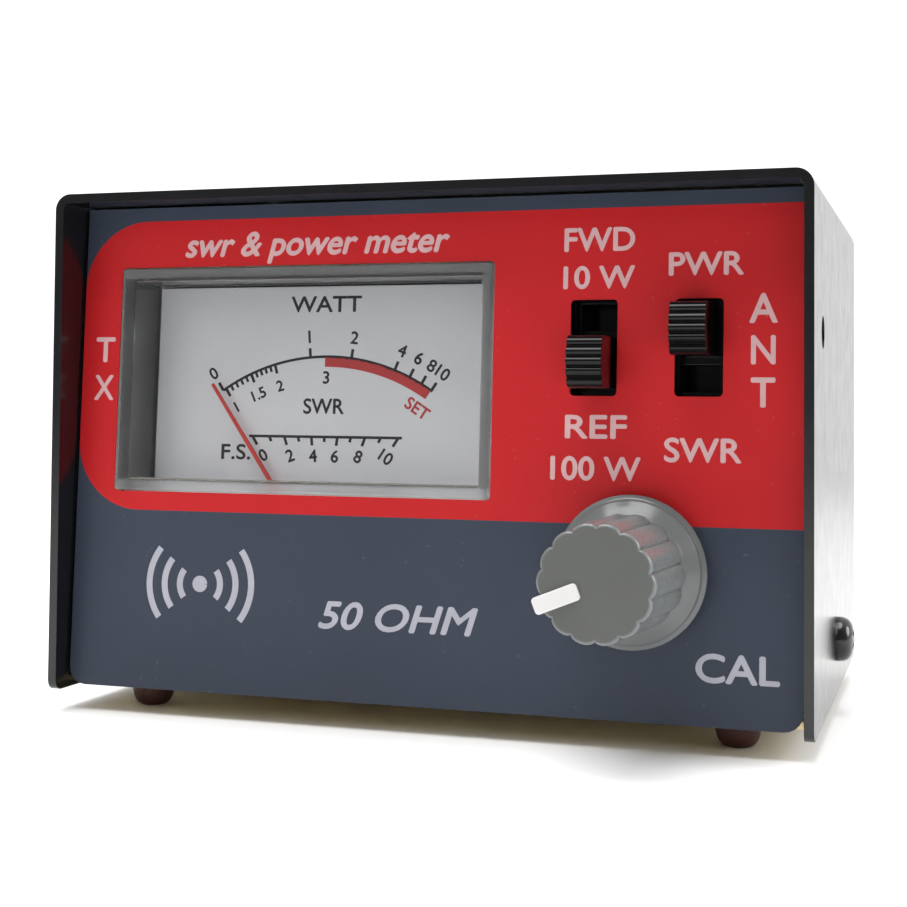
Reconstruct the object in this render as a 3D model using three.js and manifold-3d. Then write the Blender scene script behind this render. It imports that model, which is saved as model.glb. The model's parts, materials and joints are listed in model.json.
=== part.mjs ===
// A bench SWR and power meter: folded steel case, moving-coil panel meter, two slide switches,
// a calibration knob and two coaxial sockets.
//
// Millimetres, +Z up. The front faces -Y. X is across the case. The origin is on the surface that
// the feet stand on, below the middle of the whole object.

import * as THREE from 'three';
import { mergeVertices } from 'three/addons/utils/BufferGeometryUtils.js';
import Module from 'manifold-3d';

const wasm = await Module();
wasm.setup();

// ---- Driving dimensions -------------------------------------------------------------------------

const GAP = 0.3; // play between pieces that sit in each other
const SEAT = 0.05; // play between faces that rest on each other

const COVER = { width: 102.6, depth: 72, height: 68, sheet: 1.2, bend: 2.2, corner: 1.5 };
const COVER_BOTTOM = 3; // height of the cover's lower edges
const FOOT = { radius: 2.9, flat: 1.6, x: 41, front: 11, rear: 61 };

const CHASSIS = { halfWidth: 49.8, sheet: 1, underside: 3.3, bend: 0.8, rear: 70.5, top: 69.5 };
const LUG = { halfWidth: 6, height: 5, boardHalfWidth: 3, boardTop: 14, boardX: [21, 41] };
const LEAN = THREE.MathUtils.degToRad(3); // the panel's top leans back by this much
const PANEL = { y: 3.02, z: COVER_BOTTOM + 0.55, metalTop: 65.9 }; // where the panel's own frame starts
const LABEL = { thickness: 0.3, glue: 0.1, corner: 2.4, bottom: 0, top: 66.1 };

const WINDOW = { left: -44.1, right: 10.2, bottom: 26.7, top: 57.7 }; // in the panel's own plane
const SLOT = { width: 6.05, bottom: 40.2, top: 52.45, corner: 0.5, metalMargin: 0.4 };
const SLOT_X = [23.45, 36.8];
const POT_HOLE = { radius: 4.6, z: 18.5 };

const METER = { wall: 1.5, play: 0.12, proud: 0.3, shelf: 2.4, split: 10, back: 25.5, bottom: 6.5 };
const PIVOT = { x: -16.2, z: 18 };
const NEEDLE = { rest: 34.9, length: 29.2, width: 0.52, y: 7, thickness: 0.4, tail: 5, hub: 1.6 };
const DIAL = {
  y: 8.5, thickness: 0.5, bottom: 12, notch: 12, notchTop: 26.5, posts: [-39, 5], post: 1.5, postZ: 16,
};
const MAGNET = { inner: 6, outer: 8.2, front: 11.5, rear: 19 };
const YOKE = { inner: 8.4, outer: 9.4 };
const CORE = { radius: 3.8, front: 11.8, rear: 18.7, lugReach: 5.7, lugWidth: 2.4 };
const COIL = { inner: 4.4, outer: 5.3, width: 2, front: 10.6, rear: 19.9, bar: 0.8 };
const BRIDGE = { reach: 8.9, width: 4, corner: 1.9, post: 0.8 };
const JEWEL = { radius: 1.5, cup: 0.7, cupDepth: 0.6, slot: 0.4 };
const TERMINAL = { width: 3, length: 7, bottom: 12, top: 12.8, hole: 0.6, x: [-30, -4] };

const KNOB = { x: 29, z: PANEL.z + 18.55, rear: 2.2, front: -17.9 };
const KNOB_TILT = THREE.MathUtils.degToRad(1.6); // the knob's front points up by this much
const KNOB_SKIRT = 9.5;
const KNOB_LOBES = 14;
const KNOB_REST = 112; // degrees from twelve o'clock, towards the left
const SHAFT = { radius: 3, front: -13, rear: 10.6 };
const POINTER = { width: 2, from: 2, to: 7.5, raise: 0.4, sunk: 0.5 };
const POT = { radius: 8.2, front: 9, rear: 15, wall: 0.7 };

const LEVER = { width: 4.5, height: 6.5, front: -1.9, ridges: 5 };
const LEVER_X = [23.75, 36.45];
const LEVER_Z = [COVER_BOTTOM + 44.9, COVER_BOTTOM + 48.95]; // range lever down, function lever up
const LEVER_TRAVEL = 4.05;
const SWITCH = { width: 7.8, height: 15.4, front: 8.4, rear: 14.9, wall: 0.9 };
const PIN = { radius: 0.4, spread: 1.6, pitch: 4, reach: 1.2 };

const BOARD = { left: 15, right: 46.5, bottom: 4.4, top: 60, front: 15.5, rear: 17.1 };
const COUPLER = { halfWidth: 40, bottom: 27, top: 47, front: 56.5, rear: 58.1 };
const COUPLER_PART_Y = COUPLER.front - 1.9;

const SOCKET = {
  x: 28, z: COVER_BOTTOM + 34, flange: 25.4, plate: 1.6, barrel: 7.9, bore: 6.4, length: 11.1,
};
const SOCKET_HOLE = { offset: 9, radius: 1.65 };
const STUB = { radius: 4.8, front: 62 };
const CONTACT = { radius: 2.8, bore: 2, tail: 1.9, front: 55.4 };

const SIDE_SCREW = { y: 36, z: COVER_BOTTOM + 7.45, head: 3.05, rise: 2.3, shank: 1.45 };
const SIDE_HOLE = { y: 12.3, z: COVER_BOTTOM + 48.9, radius: 2.1 };
const FLANGE_SCREW = { head: 2.7, rise: 1.7, shank: 1.3 };

// ---- Solids, joined and cut ---------------------------------------------------------------------

function toSolid(geometry) {
  const bare = geometry.clone();
  bare.deleteAttribute('normal');
  bare.deleteAttribute('uv');
  const merged = mergeVertices(bare, 1e-4);
  const source = merged.index.array;
  const faces = [];
  for (let i = 0; i < source.length; i += 3) {
    const [a, b, c] = source.slice(i, i + 3);
    if (a !== b && b !== c && c !== a) faces.push(a, b, c);
  }
  const wind = (triangles) => new wasm.Manifold(new wasm.Mesh({
    numProp: 3,
    vertProperties: new Float32Array(merged.attributes.position.array),
    triVerts: new Uint32Array(triangles),
  }));
  const solid = wind(faces);
  // A skin that is wound inwards encloses less than nothing, so it is turned over.
  return solid.volume() > 0 ? solid : wind(faces.toReversed());
}

function toGeometry(solid) {
  const data = solid.getMesh();
  const geometry = new THREE.BufferGeometry();
  geometry.setAttribute('position', new THREE.BufferAttribute(data.vertProperties, 3));
  geometry.setIndex(new THREE.BufferAttribute(data.triVerts, 1));
  geometry.computeVertexNormals();
  return geometry;
}

const join = (...solids) => solids.reduce((whole, solid) => whole.add(solid));
const cut = (base, ...tools) => tools.reduce((rest, tool) => rest.subtract(tool), base);

// A block between two limits on each axis.
function block([x0, x1], [y0, y1], [z0, z1]) {
  const geometry = new THREE.BoxGeometry(x1 - x0, y1 - y0, z1 - z0);
  geometry.translate((x0 + x1) / 2, (y0 + y1) / 2, (z0 + z1) / 2);
  return toSolid(geometry);
}

// Turns a geometry whose length runs along one axis so that it runs along another.
const ALONG = {
  x: new THREE.Matrix4().makeBasis(
    new THREE.Vector3(0, 1, 0), new THREE.Vector3(0, 0, 1), new THREE.Vector3(1, 0, 0)),
  y: new THREE.Matrix4().makeBasis(
    new THREE.Vector3(0, 0, 1), new THREE.Vector3(1, 0, 0), new THREE.Vector3(0, 1, 0)),
  z: new THREE.Matrix4(),
};

// A solid of revolution about x, y or z. The profile is [radius, place along the axis] pairs.
function turned(profile, axis, [x, y, z], segments = 24) {
  const points = profile.map(([radius, place]) => new THREE.Vector2(radius, place));
  const geometry = new THREE.LatheGeometry(points, segments);
  geometry.rotateX(Math.PI / 2);
  geometry.applyMatrix4(ALONG[axis]);
  geometry.translate(x, y, z);
  return toSolid(geometry);
}

// A plain round rod from one place to another along its axis.
function rod(radius, [from, to], axis, centre, segments = 24) {
  const low = Math.min(from, to);
  const high = Math.max(from, to);
  return turned([[0, low], [radius, low], [radius, high], [0, high]], axis, centre, segments);
}

// A flat outline given as [a, b] pairs, extruded. Along y the pairs are x and z, along x they are
// y and z, and along z they are x and y.
function prism(outline, axis, [from, to]) {
  const shape = new THREE.Shape(outline.map(([a, b]) => new THREE.Vector2(a, b)));
  const geometry = new THREE.ExtrudeGeometry(shape, { depth: to - from, bevelEnabled: false });
  if (axis === 'y') {
    geometry.rotateX(Math.PI / 2);
    geometry.translate(0, to, 0);
  } else if (axis === 'x') {
    geometry.applyMatrix4(ALONG.x);
    geometry.translate(from, 0, 0);
  } else {
    geometry.translate(0, 0, from);
  }
  return toSolid(geometry);
}

// Rounds each corner of an open or closed path of [a, b] points.
function filleted(corners, radii, steps = 5, closed = true) {
  const path = [];
  corners.forEach((corner, i) => {
    const end = !closed && (i === 0 || i === corners.length - 1);
    const radius = Array.isArray(radii) ? radii[i] : radii;
    if (end || radius <= 0) {
      path.push(corner);
      return;
    }
    const here = new THREE.Vector2(...corner);
    const before = new THREE.Vector2(...corners.at(i - 1)).sub(here).normalize();
    const after = new THREE.Vector2(...corners[(i + 1) % corners.length]).sub(here).normalize();
    const half = Math.acos(THREE.MathUtils.clamp(before.dot(after), -1, 1)) / 2;
    const middle = before.clone().add(after).normalize().multiplyScalar(radius / Math.sin(half));
    const centre = here.clone().add(middle);
    const reach = radius / Math.tan(half);
    const start = before.multiplyScalar(reach).add(here).sub(centre).angle();
    const stop = after.multiplyScalar(reach).add(here).sub(centre).angle();
    const sweep = THREE.MathUtils.euclideanModulo(stop - start + Math.PI, 2 * Math.PI) - Math.PI;
    for (let k = 0; k <= steps; k += 1) {
      const angle = start + (sweep * k) / steps;
      path.push([centre.x + radius * Math.cos(angle), centre.y + radius * Math.sin(angle)]);
    }
  });
  return path;
}

// A rectangle's outline with round corners.
function rectangle([a0, a1], [b0, b1], radius = 0, steps = 2) {
  return filleted([[a0, b0], [a1, b0], [a1, b1], [a0, b1]], radius, steps);
}

// A round tube or wire through hand-placed points.
function wire(points, radius, steps = 16) {
  const curve = new THREE.CatmullRomCurve3(points.map((point) => new THREE.Vector3(...point)));
  const ring = new THREE.Shape();
  ring.absarc(0, 0, radius, 0, 2 * Math.PI);
  const options = { steps, extrudePath: curve, bevelEnabled: false, curveSegments: 4 };
  return toSolid(new THREE.ExtrudeGeometry(ring, options));
}

// ---- Groups and materials -----------------------------------------------------------------------

const swrMeter = new THREE.Group();

// In the panel's own frame, x runs across, z up along the panel and y into the case, from the
// label's face. Everything that is fastened to the leaning panel is drawn there.
const panel = new THREE.Group();
panel.position.set(0, PANEL.y, PANEL.z);
panel.rotation.x = -LEAN;
panel.updateMatrix();
swrMeter.add(panel);

// The knob's own frame has its axis along y, which starts level with the cover's front edge.
const knobAxis = new THREE.Group();
knobAxis.position.set(KNOB.x, 0, KNOB.z);
knobAxis.rotation.x = -KNOB_TILT;
swrMeter.add(knobAxis);

function finish(color, roughness, metalness = 0, extra = {}) {
  return new THREE.MeshStandardMaterial({ color, roughness, metalness, ...extra });
}

const FINISH = {
  blackPaint: finish(0x141518, 0.3),
  zinc: finish(0xc8a860, 0.35, 0.9),
  label: finish(0xb8232a, 0.45),
  clear: finish(0xe8f0f0, 0.05, 0, { transparent: true, opacity: 0.3 }),
  dial: finish(0xc4c8cc, 0.5),
  redPaint: finish(0xd63c32, 0.5),
  blackPlastic: finish(0x101113, 0.35),
  greyPlastic: finish(0x7c7d7a, 0.5),
  whitePlastic: finish(0xf0efea, 0.3),
  rubber: finish(0x4a201c, 0.8),
  foam: finish(0x2a2a2a, 0.95),
  steel: finish(0xa8aaac, 0.35, 1),
  magnet: finish(0x4a4b4e, 0.6, 0.4),
  brass: finish(0xc9a64a, 0.3, 1),
  bronze: finish(0xb5803c, 0.35, 1),
  aluminium: finish(0xb9bcc0, 0.4, 1),
  nickel: finish(0xc2c4c4, 0.25, 1),
  board: finish(0xa9823f, 0.6),
  glassBody: finish(0xc86a3c, 0.15),
  ceramic: finish(0xcdbb95, 0.6),
  redWire: finish(0xb02822, 0.5),
  blackWire: finish(0x18181a, 0.5),
  yellowWire: finish(0xd8b53a, 0.5),
  blueWire: finish(0x2a4f9c, 0.5),
};

function add(group, name, solid, material) {
  const mesh = new THREE.Mesh(toGeometry(solid), material);
  mesh.name = name;
  group.add(mesh);
}

// ---- Case ---------------------------------------------------------------------------------------

// Shapes cut from the label or from the metal behind it, in the panel's frame.
function panelCutters(depths, margin) {
  const { left, right, bottom, top } = WINDOW;
  const cutters = [prism(rectangle([left, right], [bottom, top], 0.5), 'y', depths)];
  for (const x of SLOT_X) {
    const half = SLOT.width / 2 + margin;
    const heights = [SLOT.bottom - margin, SLOT.top + margin];
    cutters.push(prism(rectangle([x - half, x + half], heights, SLOT.corner), 'y', depths));
  }
  cutters.push(rod(POT_HOLE.radius, depths, 'y', [KNOB.x, 0, POT_HOLE.z]));
  return cutters;
}

// What rounding a convex corner takes away: a square over it, less a disc inside it. Along x the
// corner is at [y, z], along y at [x, z], and the sides say which way the body lies from it.
function cornerCutter(axis, span, [a, b], [sideA, sideB], radius) {
  const range = (corner, side) => [corner - side, corner + side * radius].sort((low, high) => low - high);
  const [centreA, centreB] = [a + sideA * radius, b + sideB * radius];
  if (axis === 'x') {
    return cut(block(span, range(a, sideA), range(b, sideB)),
      rod(radius, span, 'x', [0, centreA, centreB]));
  }
  return cut(block(range(a, sideA), span, range(b, sideB)),
    rod(radius, span, 'y', [centreA, 0, centreB]));
}

function coverSolid() {
  const half = COVER.width / 2;
  const top = COVER_BOTTOM + COVER.height;
  const { sheet, bend, depth, corner } = COVER;
  const outer = filleted(
    [[-half, COVER_BOTTOM], [-half, top], [half, top], [half, COVER_BOTTOM]], bend, 6, false);
  const inner = filleted(
    [[half - sheet, COVER_BOTTOM], [half - sheet, top - sheet],
      [sheet - half, top - sheet], [sheet - half, COVER_BOTTOM]], bend - sheet, 6, false);
  const folded = prism([...outer, ...inner], 'y', [0, depth]);
  const across = [-half - 1, half + 1];
  const screwHoles = rod(SIDE_SCREW.shank + GAP, across, 'x', [0, SIDE_SCREW.y, SIDE_SCREW.z], 20);
  const sideHoles = rod(SIDE_HOLE.radius, across, 'x', [0, SIDE_HOLE.y, SIDE_HOLE.z], 20);
  const frontCorner = cornerCutter('x', across, [0, COVER_BOTTOM], [1, 1], corner);
  const rearCorner = cornerCutter('x', across, [depth, COVER_BOTTOM], [-1, 1], corner);
  return cut(folded, screwHoles, sideHoles, frontCorner, rearCorner);
}

// The chassis's side view, as [y, z]: leaning front, floor and upright rear.
function chassisProfile() {
  const { sheet, underside, bend, rear, top } = CHASSIS;
  const setBack = LABEL.thickness + LABEL.glue;
  const frontAt = (height, depth) => {
    const up = (height - PANEL.z + depth * Math.sin(LEAN)) / Math.cos(LEAN);
    return [PANEL.y + up * Math.sin(LEAN) + depth * Math.cos(LEAN), height];
  };
  const frontTop = PANEL.z + PANEL.metalTop * Math.cos(LEAN);
  const floor = underside + sheet;
  const corners = [
    frontAt(frontTop, setBack), frontAt(underside, setBack), [rear, underside], [rear, top],
    [rear - sheet, top], [rear - sheet, floor], frontAt(floor, setBack + sheet),
    frontAt(frontTop, setBack + sheet),
  ];
  return filleted(corners, [0, bend, bend, 0, 0, 0, 0, 0], 4);
}

function chassisSolid() {
  const { halfWidth, sheet, underside, rear } = CHASSIS;
  const folded = prism(chassisProfile(), 'x', [-halfWidth, halfWidth]);
  const floor = underside + sheet / 2;
  const lugs = [-1, 1].map((side) => block(
    [side * halfWidth, side * (halfWidth - sheet)].sort((a, b) => a - b),
    [SIDE_SCREW.y - LUG.halfWidth, SIDE_SCREW.y + LUG.halfWidth],
    [floor, SIDE_SCREW.z + LUG.height]));
  const boardLugs = LUG.boardX.map((x) => block(
    [x - LUG.boardHalfWidth, x + LUG.boardHalfWidth],
    [BOARD.rear + GAP, BOARD.rear + GAP + sheet], [floor, LUG.boardTop]));
  const depths = [-2, 4];
  const corners = [-1, 1].map((side) => cornerCutter(
    'y', depths, [side * halfWidth, LABEL.bottom], [-side, 1], LABEL.corner));
  const openings = [...panelCutters(depths, SLOT.metalMargin), ...corners]
    .map((cutter) => cutter.transform(panel.matrix.toArray()));
  const across = [-halfWidth - 1, halfWidth + 1];
  openings.push(rod(SIDE_SCREW.shank + GAP, across, 'x', [0, SIDE_SCREW.y, SIDE_SCREW.z], 20));
  const through = [rear - 2, rear + 1];
  for (const x of [-SOCKET.x, SOCKET.x]) {
    openings.push(rod(SOCKET.bore, through, 'y', [x, 0, SOCKET.z]));
    for (const [cornerX, cornerZ] of flangeCorners(x)) {
      openings.push(rod(FLANGE_SCREW.shank + GAP, through, 'y', [cornerX, 0, cornerZ], 10));
    }
  }
  return cut(join(folded, ...lugs, ...boardLugs), ...openings);
}

function labelSolid() {
  const depths = [0, LABEL.thickness];
  const { halfWidth } = CHASSIS;
  const { bottom, top, corner } = LABEL;
  const corners = [[-halfWidth, bottom], [halfWidth, bottom], [halfWidth, top], [-halfWidth, top]];
  const sheet = prism(filleted(corners, [corner, corner, 0, 0], 5), 'y', depths);
  return cut(sheet, ...panelCutters([-1, 1], 0));
}

// A rubber foot: a domed button with a small flat that it stands on.
function footSolid(x, y) {
  const { radius, flat } = FOOT;
  const top = CHASSIS.underside - SEAT;
  const profile = [[0, 0], [flat, 0]];
  for (let step = 1; step <= 3; step += 1) {
    const angle = (step * Math.PI) / 6;
    profile.push([flat + (radius - flat) * Math.sin(angle), top * 0.8 * (1 - Math.cos(angle))]);
  }
  profile.push([radius, top], [0, top]);
  return turned(profile, 'z', [x, y, 0], 16);
}

// A domed screw with a cross recess, drawn with its shank along +z and its head below zero.
function screwSolid({ head, rise, shank }, length) {
  const dome = turned([
    [0, -rise], [head * 0.45, -rise * 0.96], [head * 0.8, -rise * 0.72], [head, -rise * 0.3],
    [head, 0], [shank, 0], [shank, length], [0, length],
  ], 'z', [0, 0, 0], 16);
  const arm = head * 0.55;
  const slit = head * 0.11;
  const recess = [-rise - 1, -rise * 0.35];
  return cut(dome,
    block([-arm, arm], [-slit, slit], recess),
    block([-slit, slit], [-arm, arm], recess));
}

// The same screw, moved to a place and turned so that its shank points along a direction.
function screwAt(sizes, length, direction, place) {
  const turn = new THREE.Quaternion().setFromUnitVectors(
    new THREE.Vector3(0, 0, 1), new THREE.Vector3(...direction));
  const matrix = new THREE.Matrix4().compose(
    new THREE.Vector3(...place), turn, new THREE.Vector3(1, 1, 1));
  return screwSolid(sizes, length).transform(matrix.toArray());
}

function addCase() {
  add(swrMeter, 'chassis', chassisSolid(), FINISH.zinc);
  add(swrMeter, 'cover', coverSolid(), FINISH.blackPaint);
  add(panel, 'front_label', labelSolid(), FINISH.label);
  for (const [side, sign] of [['left', -1], ['right', 1]]) {
    const place = [sign * (COVER.width / 2 + SEAT), SIDE_SCREW.y, SIDE_SCREW.z];
    add(swrMeter, `cover_screw_${side}`,
      screwAt(SIDE_SCREW, 6, [-sign, 0, 0], place), FINISH.blackPaint);
    for (const end of ['front', 'rear']) {
      add(swrMeter, `foot_${end}_${side}`, footSolid(sign * FOOT.x, FOOT[end]), FINISH.rubber);
    }
  }
}

// ---- Panel meter, in the panel's frame ----------------------------------------------------------

const METER_X = [WINDOW.left + METER.play, WINDOW.right - METER.play];
const METER_TOP = WINDOW.top - METER.play;
const inset = ([low, high], by) => [low + by, high - by];

// Clear front: a window box that stands in the panel's cut-out, over a lower shelf behind it.
function lensSolid() {
  const { wall, play, proud, shelf, split, bottom } = METER;
  const sill = WINDOW.bottom + play;
  const outside = [[-proud, sill], [-proud, METER_TOP], [split, METER_TOP], [split, bottom],
    [shelf, bottom], [shelf, sill]];
  const back = split + 1;
  const roof = METER_TOP - wall;
  const inside = [[wall - proud, sill + wall], [wall - proud, roof], [back, roof],
    [back, bottom + wall], [shelf + wall, bottom + wall], [shelf + wall, sill + wall]];
  return cut(prism(outside.reverse(), 'x', METER_X),
    prism(inside.reverse(), 'x', inset(METER_X, wall)));
}

function meterCaseSolid() {
  const { wall, split, back, bottom } = METER;
  const front = split + GAP;
  const heights = [bottom, METER_TOP];
  const shell = block(METER_X, [front, back], heights);
  const hollow = block(inset(METER_X, wall), [front - 1, back - wall], inset(heights, wall));
  const depths = [DIAL.y + DIAL.thickness + GAP, back - wall / 2];
  const posts = DIAL.posts.map((x) => rod(DIAL.post, depths, 'y', [x, 0, DIAL.postZ], 12));
  return join(cut(shell, hollow), ...posts);
}

function dialSolid() {
  const edge = METER.wall + GAP;
  const width = inset(METER_X, edge);
  const depths = [DIAL.y, DIAL.y + DIAL.thickness];
  const sheet = block(width, depths, [DIAL.bottom, METER_TOP - edge]);
  const sides = [PIVOT.x - DIAL.notch, PIVOT.x + DIAL.notch];
  return cut(sheet, block(sides, [depths[0] - 1, depths[1] + 1], [DIAL.bottom - 1, DIAL.notchTop]));
}

// Rings and rods on the needle's axis.
const onPivot = [PIVOT.x, 0, PIVOT.z];

function ring(inner, outer, depths, segments = 20) {
  return cut(
    rod(outer, depths, 'y', onPivot, segments),
    rod(inner, [depths[0] - 1, depths[1] + 1], 'y', onPivot, segments));
}

// A piece drawn upright on the pivot, then turned to the needle's resting direction.
function atRest(solid) {
  const { x, z } = PIVOT;
  return solid.translate([-x, 0, -z]).rotate([0, -NEEDLE.rest, 0]).translate([x, 0, z]);
}

function needleSolid() {
  const { x, z } = PIVOT;
  const { y, thickness, width, length, tail, hub } = NEEDLE;
  const half = width / 2;
  const depths = [y, y + thickness];
  const overHub = z + hub - 0.4;
  const arm = prism([
    [x - half * 1.4, overHub], [x + half * 1.4, overHub],
    [x + half * 0.8, z + length], [x - half * 0.8, z + length],
  ], 'y', depths);
  const stalk = block([x - half * 1.8, x + half * 1.8], depths, [z - tail, z - hub + 0.4]);
  const weight = rod(1.1, [y - 0.3, y + thickness + 0.3], 'y', [x, 0, z - tail], 12);
  const middle = ring(0.9, hub, [y - 0.2, y + thickness + 0.2], 16);
  return atRest(join(arm, stalk, weight, middle));
}

// The coil: a closed rectangular winding whose long sides pass either side of the core.
function coilSolid() {
  const { x, z } = PIVOT;
  const { inner, outer, width, front, rear, bar } = COIL;
  const high = [z - width / 2, z + width / 2];
  const frame = block([x - outer, x + outer], [front, rear], high);
  const through = [high[0] - 1, high[1] + 1];
  const hollow = block([x - inner, x + inner], [front + bar, rear - bar], through);
  return atRest(cut(frame, hollow));
}

function coreSolid() {
  const depths = [CORE.front, CORE.rear];
  const half = CORE.lugWidth / 2;
  const lug = block([PIVOT.x - half, PIVOT.x + half], depths,
    [PIVOT.z - CORE.lugReach, PIVOT.z + CORE.lugReach]);
  return join(rod(CORE.radius, depths, 'y', onPivot, 24), lug);
}

// A bar across the movement on two posts that stand on the yoke. It holds a jewel screw.
function bridgeSolid(bar, posts) {
  const { x, z } = PIVOT;
  const { reach, width, corner, post } = BRIDGE;
  const half = reach + 2 * post;
  const heights = [z - width / 2, z + width / 2];
  const strip = prism(rectangle([x - half, x + half], heights, corner, 3), 'y', bar);
  const legs = [-1, 1].map((side) => rod(post, posts, 'y', [x + side * reach, 0, z], 10));
  const hole = rod(JEWEL.radius + GAP, [bar[0] - 1, bar[1] + 1], 'y', onPivot, 16);
  return cut(join(strip, ...legs), hole);
}

// A jewel screw: slotted at one end, with a cup in the other that a spindle's point turns in.
function jewelSolid(slotEnd, cupEnd) {
  const { radius, cup, cupDepth, slot } = JEWEL;
  const way = Math.sign(cupEnd - slotEnd);
  const body = rod(radius, [slotEnd, cupEnd], 'y', onPivot, 16);
  const hollow = rod(cup, [cupEnd - way * cupDepth, cupEnd + way], 'y', onPivot, 12);
  const slotDepths = [slotEnd - way, slotEnd + way * slot].sort((a, b) => a - b);
  const groove = block([PIVOT.x - 2 * radius, PIVOT.x + 2 * radius], slotDepths,
    [PIVOT.z - slot / 2, PIVOT.z + slot / 2]);
  return cut(body, hollow, groove);
}

// Half a spindle, with a point that runs in a jewel.
function spindleSolid(tip, root) {
  const shoulder = tip + Math.sign(root - tip) * 0.9;
  const profile = [[0, tip], [0.2, tip], [0.6, shoulder], [0.6, root], [0, root]];
  return turned(tip < root ? profile : profile.reverse(), 'y', onPivot, 12);
}

// A flat hairspring: a thin strip wound in a spiral.
function hairspringSolid(depths) {
  const turns = 3;
  const steps = turns * 12;
  const strip = 0.22;
  const edge = (offset) => Array.from({ length: steps + 1 }, (_, i) => {
    const angle = (i / steps) * turns * 2 * Math.PI;
    const radius = 1.1 + (2.4 * i) / steps + offset;
    return [PIVOT.x + radius * Math.cos(angle), PIVOT.z + radius * Math.sin(angle)];
  });
  return prism([...edge(strip), ...edge(0).reverse()], 'y', depths);
}

function meterTerminalSolid(x) {
  const { width, length, bottom, top, hole } = TERMINAL;
  const start = METER.back + SEAT;
  const lug = block([x - width / 2, x + width / 2], [start, start + length], [bottom, top]);
  return cut(lug, rod(hole, [bottom - 1, top + 1], 'z', [x, start + length - width / 2, 0], 10));
}

function addMeter() {
  const { front, rear } = MAGNET;
  add(panel, 'meter_lens', lensSolid(), FINISH.clear);
  add(panel, 'meter_case', meterCaseSolid(), FINISH.blackPlastic);
  add(panel, 'scale_plate', dialSolid(), FINISH.dial);
  add(panel, 'meter_foam_pad', block([-41, 7], [1.5, METER.shelf - 0.1], [9, 24]), FINISH.foam);
  add(panel, 'magnet_ring', ring(MAGNET.inner, MAGNET.outer, [front, rear]), FINISH.magnet);
  add(panel, 'yoke_ring', ring(YOKE.inner, YOKE.outer, [front, rear]), FINISH.steel);
  add(panel, 'iron_core', coreSolid(), FINISH.steel);
  add(panel, 'bridge_front', bridgeSolid([4.6, 5.8], [5.5, front - GAP]), FINISH.brass);
  add(panel, 'bridge_rear', bridgeSolid([22.2, 23.4], [rear + GAP, 22.5]), FINISH.brass);
  add(panel, 'jewel_front', jewelSolid(4.05, 6.3), FINISH.brass);
  add(panel, 'jewel_rear', jewelSolid(23.9, 21.6), FINISH.brass);
  add(panel, 'spindle_front', spindleSolid(6.1, COIL.front - 0.1), FINISH.steel);
  add(panel, 'spindle_rear', spindleSolid(21.8, COIL.rear + 0.1), FINISH.steel);
  add(panel, 'moving_coil', coilSolid(), FINISH.bronze);
  add(panel, 'needle', needleSolid(), FINISH.redPaint);
  add(panel, 'hairspring_front', hairspringSolid([9.5, 9.9]), FINISH.bronze);
  add(panel, 'hairspring_rear', hairspringSolid([20.5, 20.9]), FINISH.bronze);
  add(panel, 'meter_terminal_left', meterTerminalSolid(TERMINAL.x[0]), FINISH.brass);
  add(panel, 'meter_terminal_right', meterTerminalSolid(TERMINAL.x[1]), FINISH.brass);
}

// ---- Switches, potentiometer and knob -----------------------------------------------------------

const SLIDER = { width: 5.4, height: 8.6, front: SWITCH.front + SWITCH.wall + GAP, depth: 2.2 };

// Where both levers' travel is centred.
const TRAVEL_MIDDLE = (LEVER_Z[0] + LEVER_Z[1]) / 2;

// Two rows of three pins behind each switch.
function pinPlaces(x) {
  return [-1, 1].flatMap((side) => [-1, 0, 1].map(
    (row) => [x + side * PIN.spread, 0, TRAVEL_MIDDLE + row * PIN.pitch]));
}

function switchHousingSolid(x) {
  const { width, height, front, rear, wall } = SWITCH;
  const across = [x - width / 2, x + width / 2];
  const heights = [TRAVEL_MIDDLE - height / 2, TRAVEL_MIDDLE + height / 2];
  const shell = block(across, [front, rear], heights);
  const hollow = block(inset(across, wall), [front + wall, rear - wall], inset(heights, wall));
  const reach = (LEVER.height + LEVER_TRAVEL) / 2 + GAP;
  const half = LEVER.width / 2 + GAP;
  const mouth = block([x - half, x + half], [front - 1, front + 2],
    [TRAVEL_MIDDLE - reach, TRAVEL_MIDDLE + reach]);
  const depths = [rear - 0.2, BOARD.rear + PIN.reach];
  const pins = pinPlaces(x).map((place) => rod(PIN.radius, depths, 'y', place, 6));
  return join(cut(shell, hollow, mouth), ...pins);
}

// Side view of a lever, as [y, z]: a slider inside the housing and a stem with a crowned, ridged end.
function leverSolid(x, z) {
  const { width, height, front, ridges } = LEVER;
  const crown = 1.1;
  const groove = 0.45;
  const half = height / 2;
  const steps = ridges * 6;
  const face = Array.from({ length: steps + 1 }, (_, i) => {
    const place = (2 * i) / steps - 1;
    const ridge = Math.abs(Math.cos((Math.PI * ridges * i) / steps - Math.PI / 2));
    return [front + crown * place * place + groove * (1 - ridge), z + half * place];
  });
  const back = SLIDER.front + 0.5;
  const outline = [...face, [back, z + half], [back, z - half]].reverse();
  const stem = prism(outline, 'x', [x - width / 2, x + width / 2]);
  const slider = block([x - SLIDER.width / 2, x + SLIDER.width / 2],
    [SLIDER.front, SLIDER.front + SLIDER.depth], [z - SLIDER.height / 2, z + SLIDER.height / 2]);
  return join(stem, slider);
}

// The sliding contact rides behind the slider and bridges two of the switch's three positions.
function contactSolid(x, z) {
  const start = SLIDER.front + SLIDER.depth + SEAT;
  return block([x - 2.2, x + 2.2], [start, start + 0.5], [z - 2.6, z + 2.6]);
}

function boardSolid() {
  const { left, right, bottom, top, front, rear } = BOARD;
  const through = [front - 1, rear + 1];
  const sheet = prism(rectangle([left, right], [bottom, top], 1, 3), 'y', [front, rear]);
  const holes = LEVER_X.flatMap(pinPlaces)
    .map((place) => rod(PIN.radius + GAP, through, 'y', place, 6));
  return cut(sheet, ...holes);
}

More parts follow.
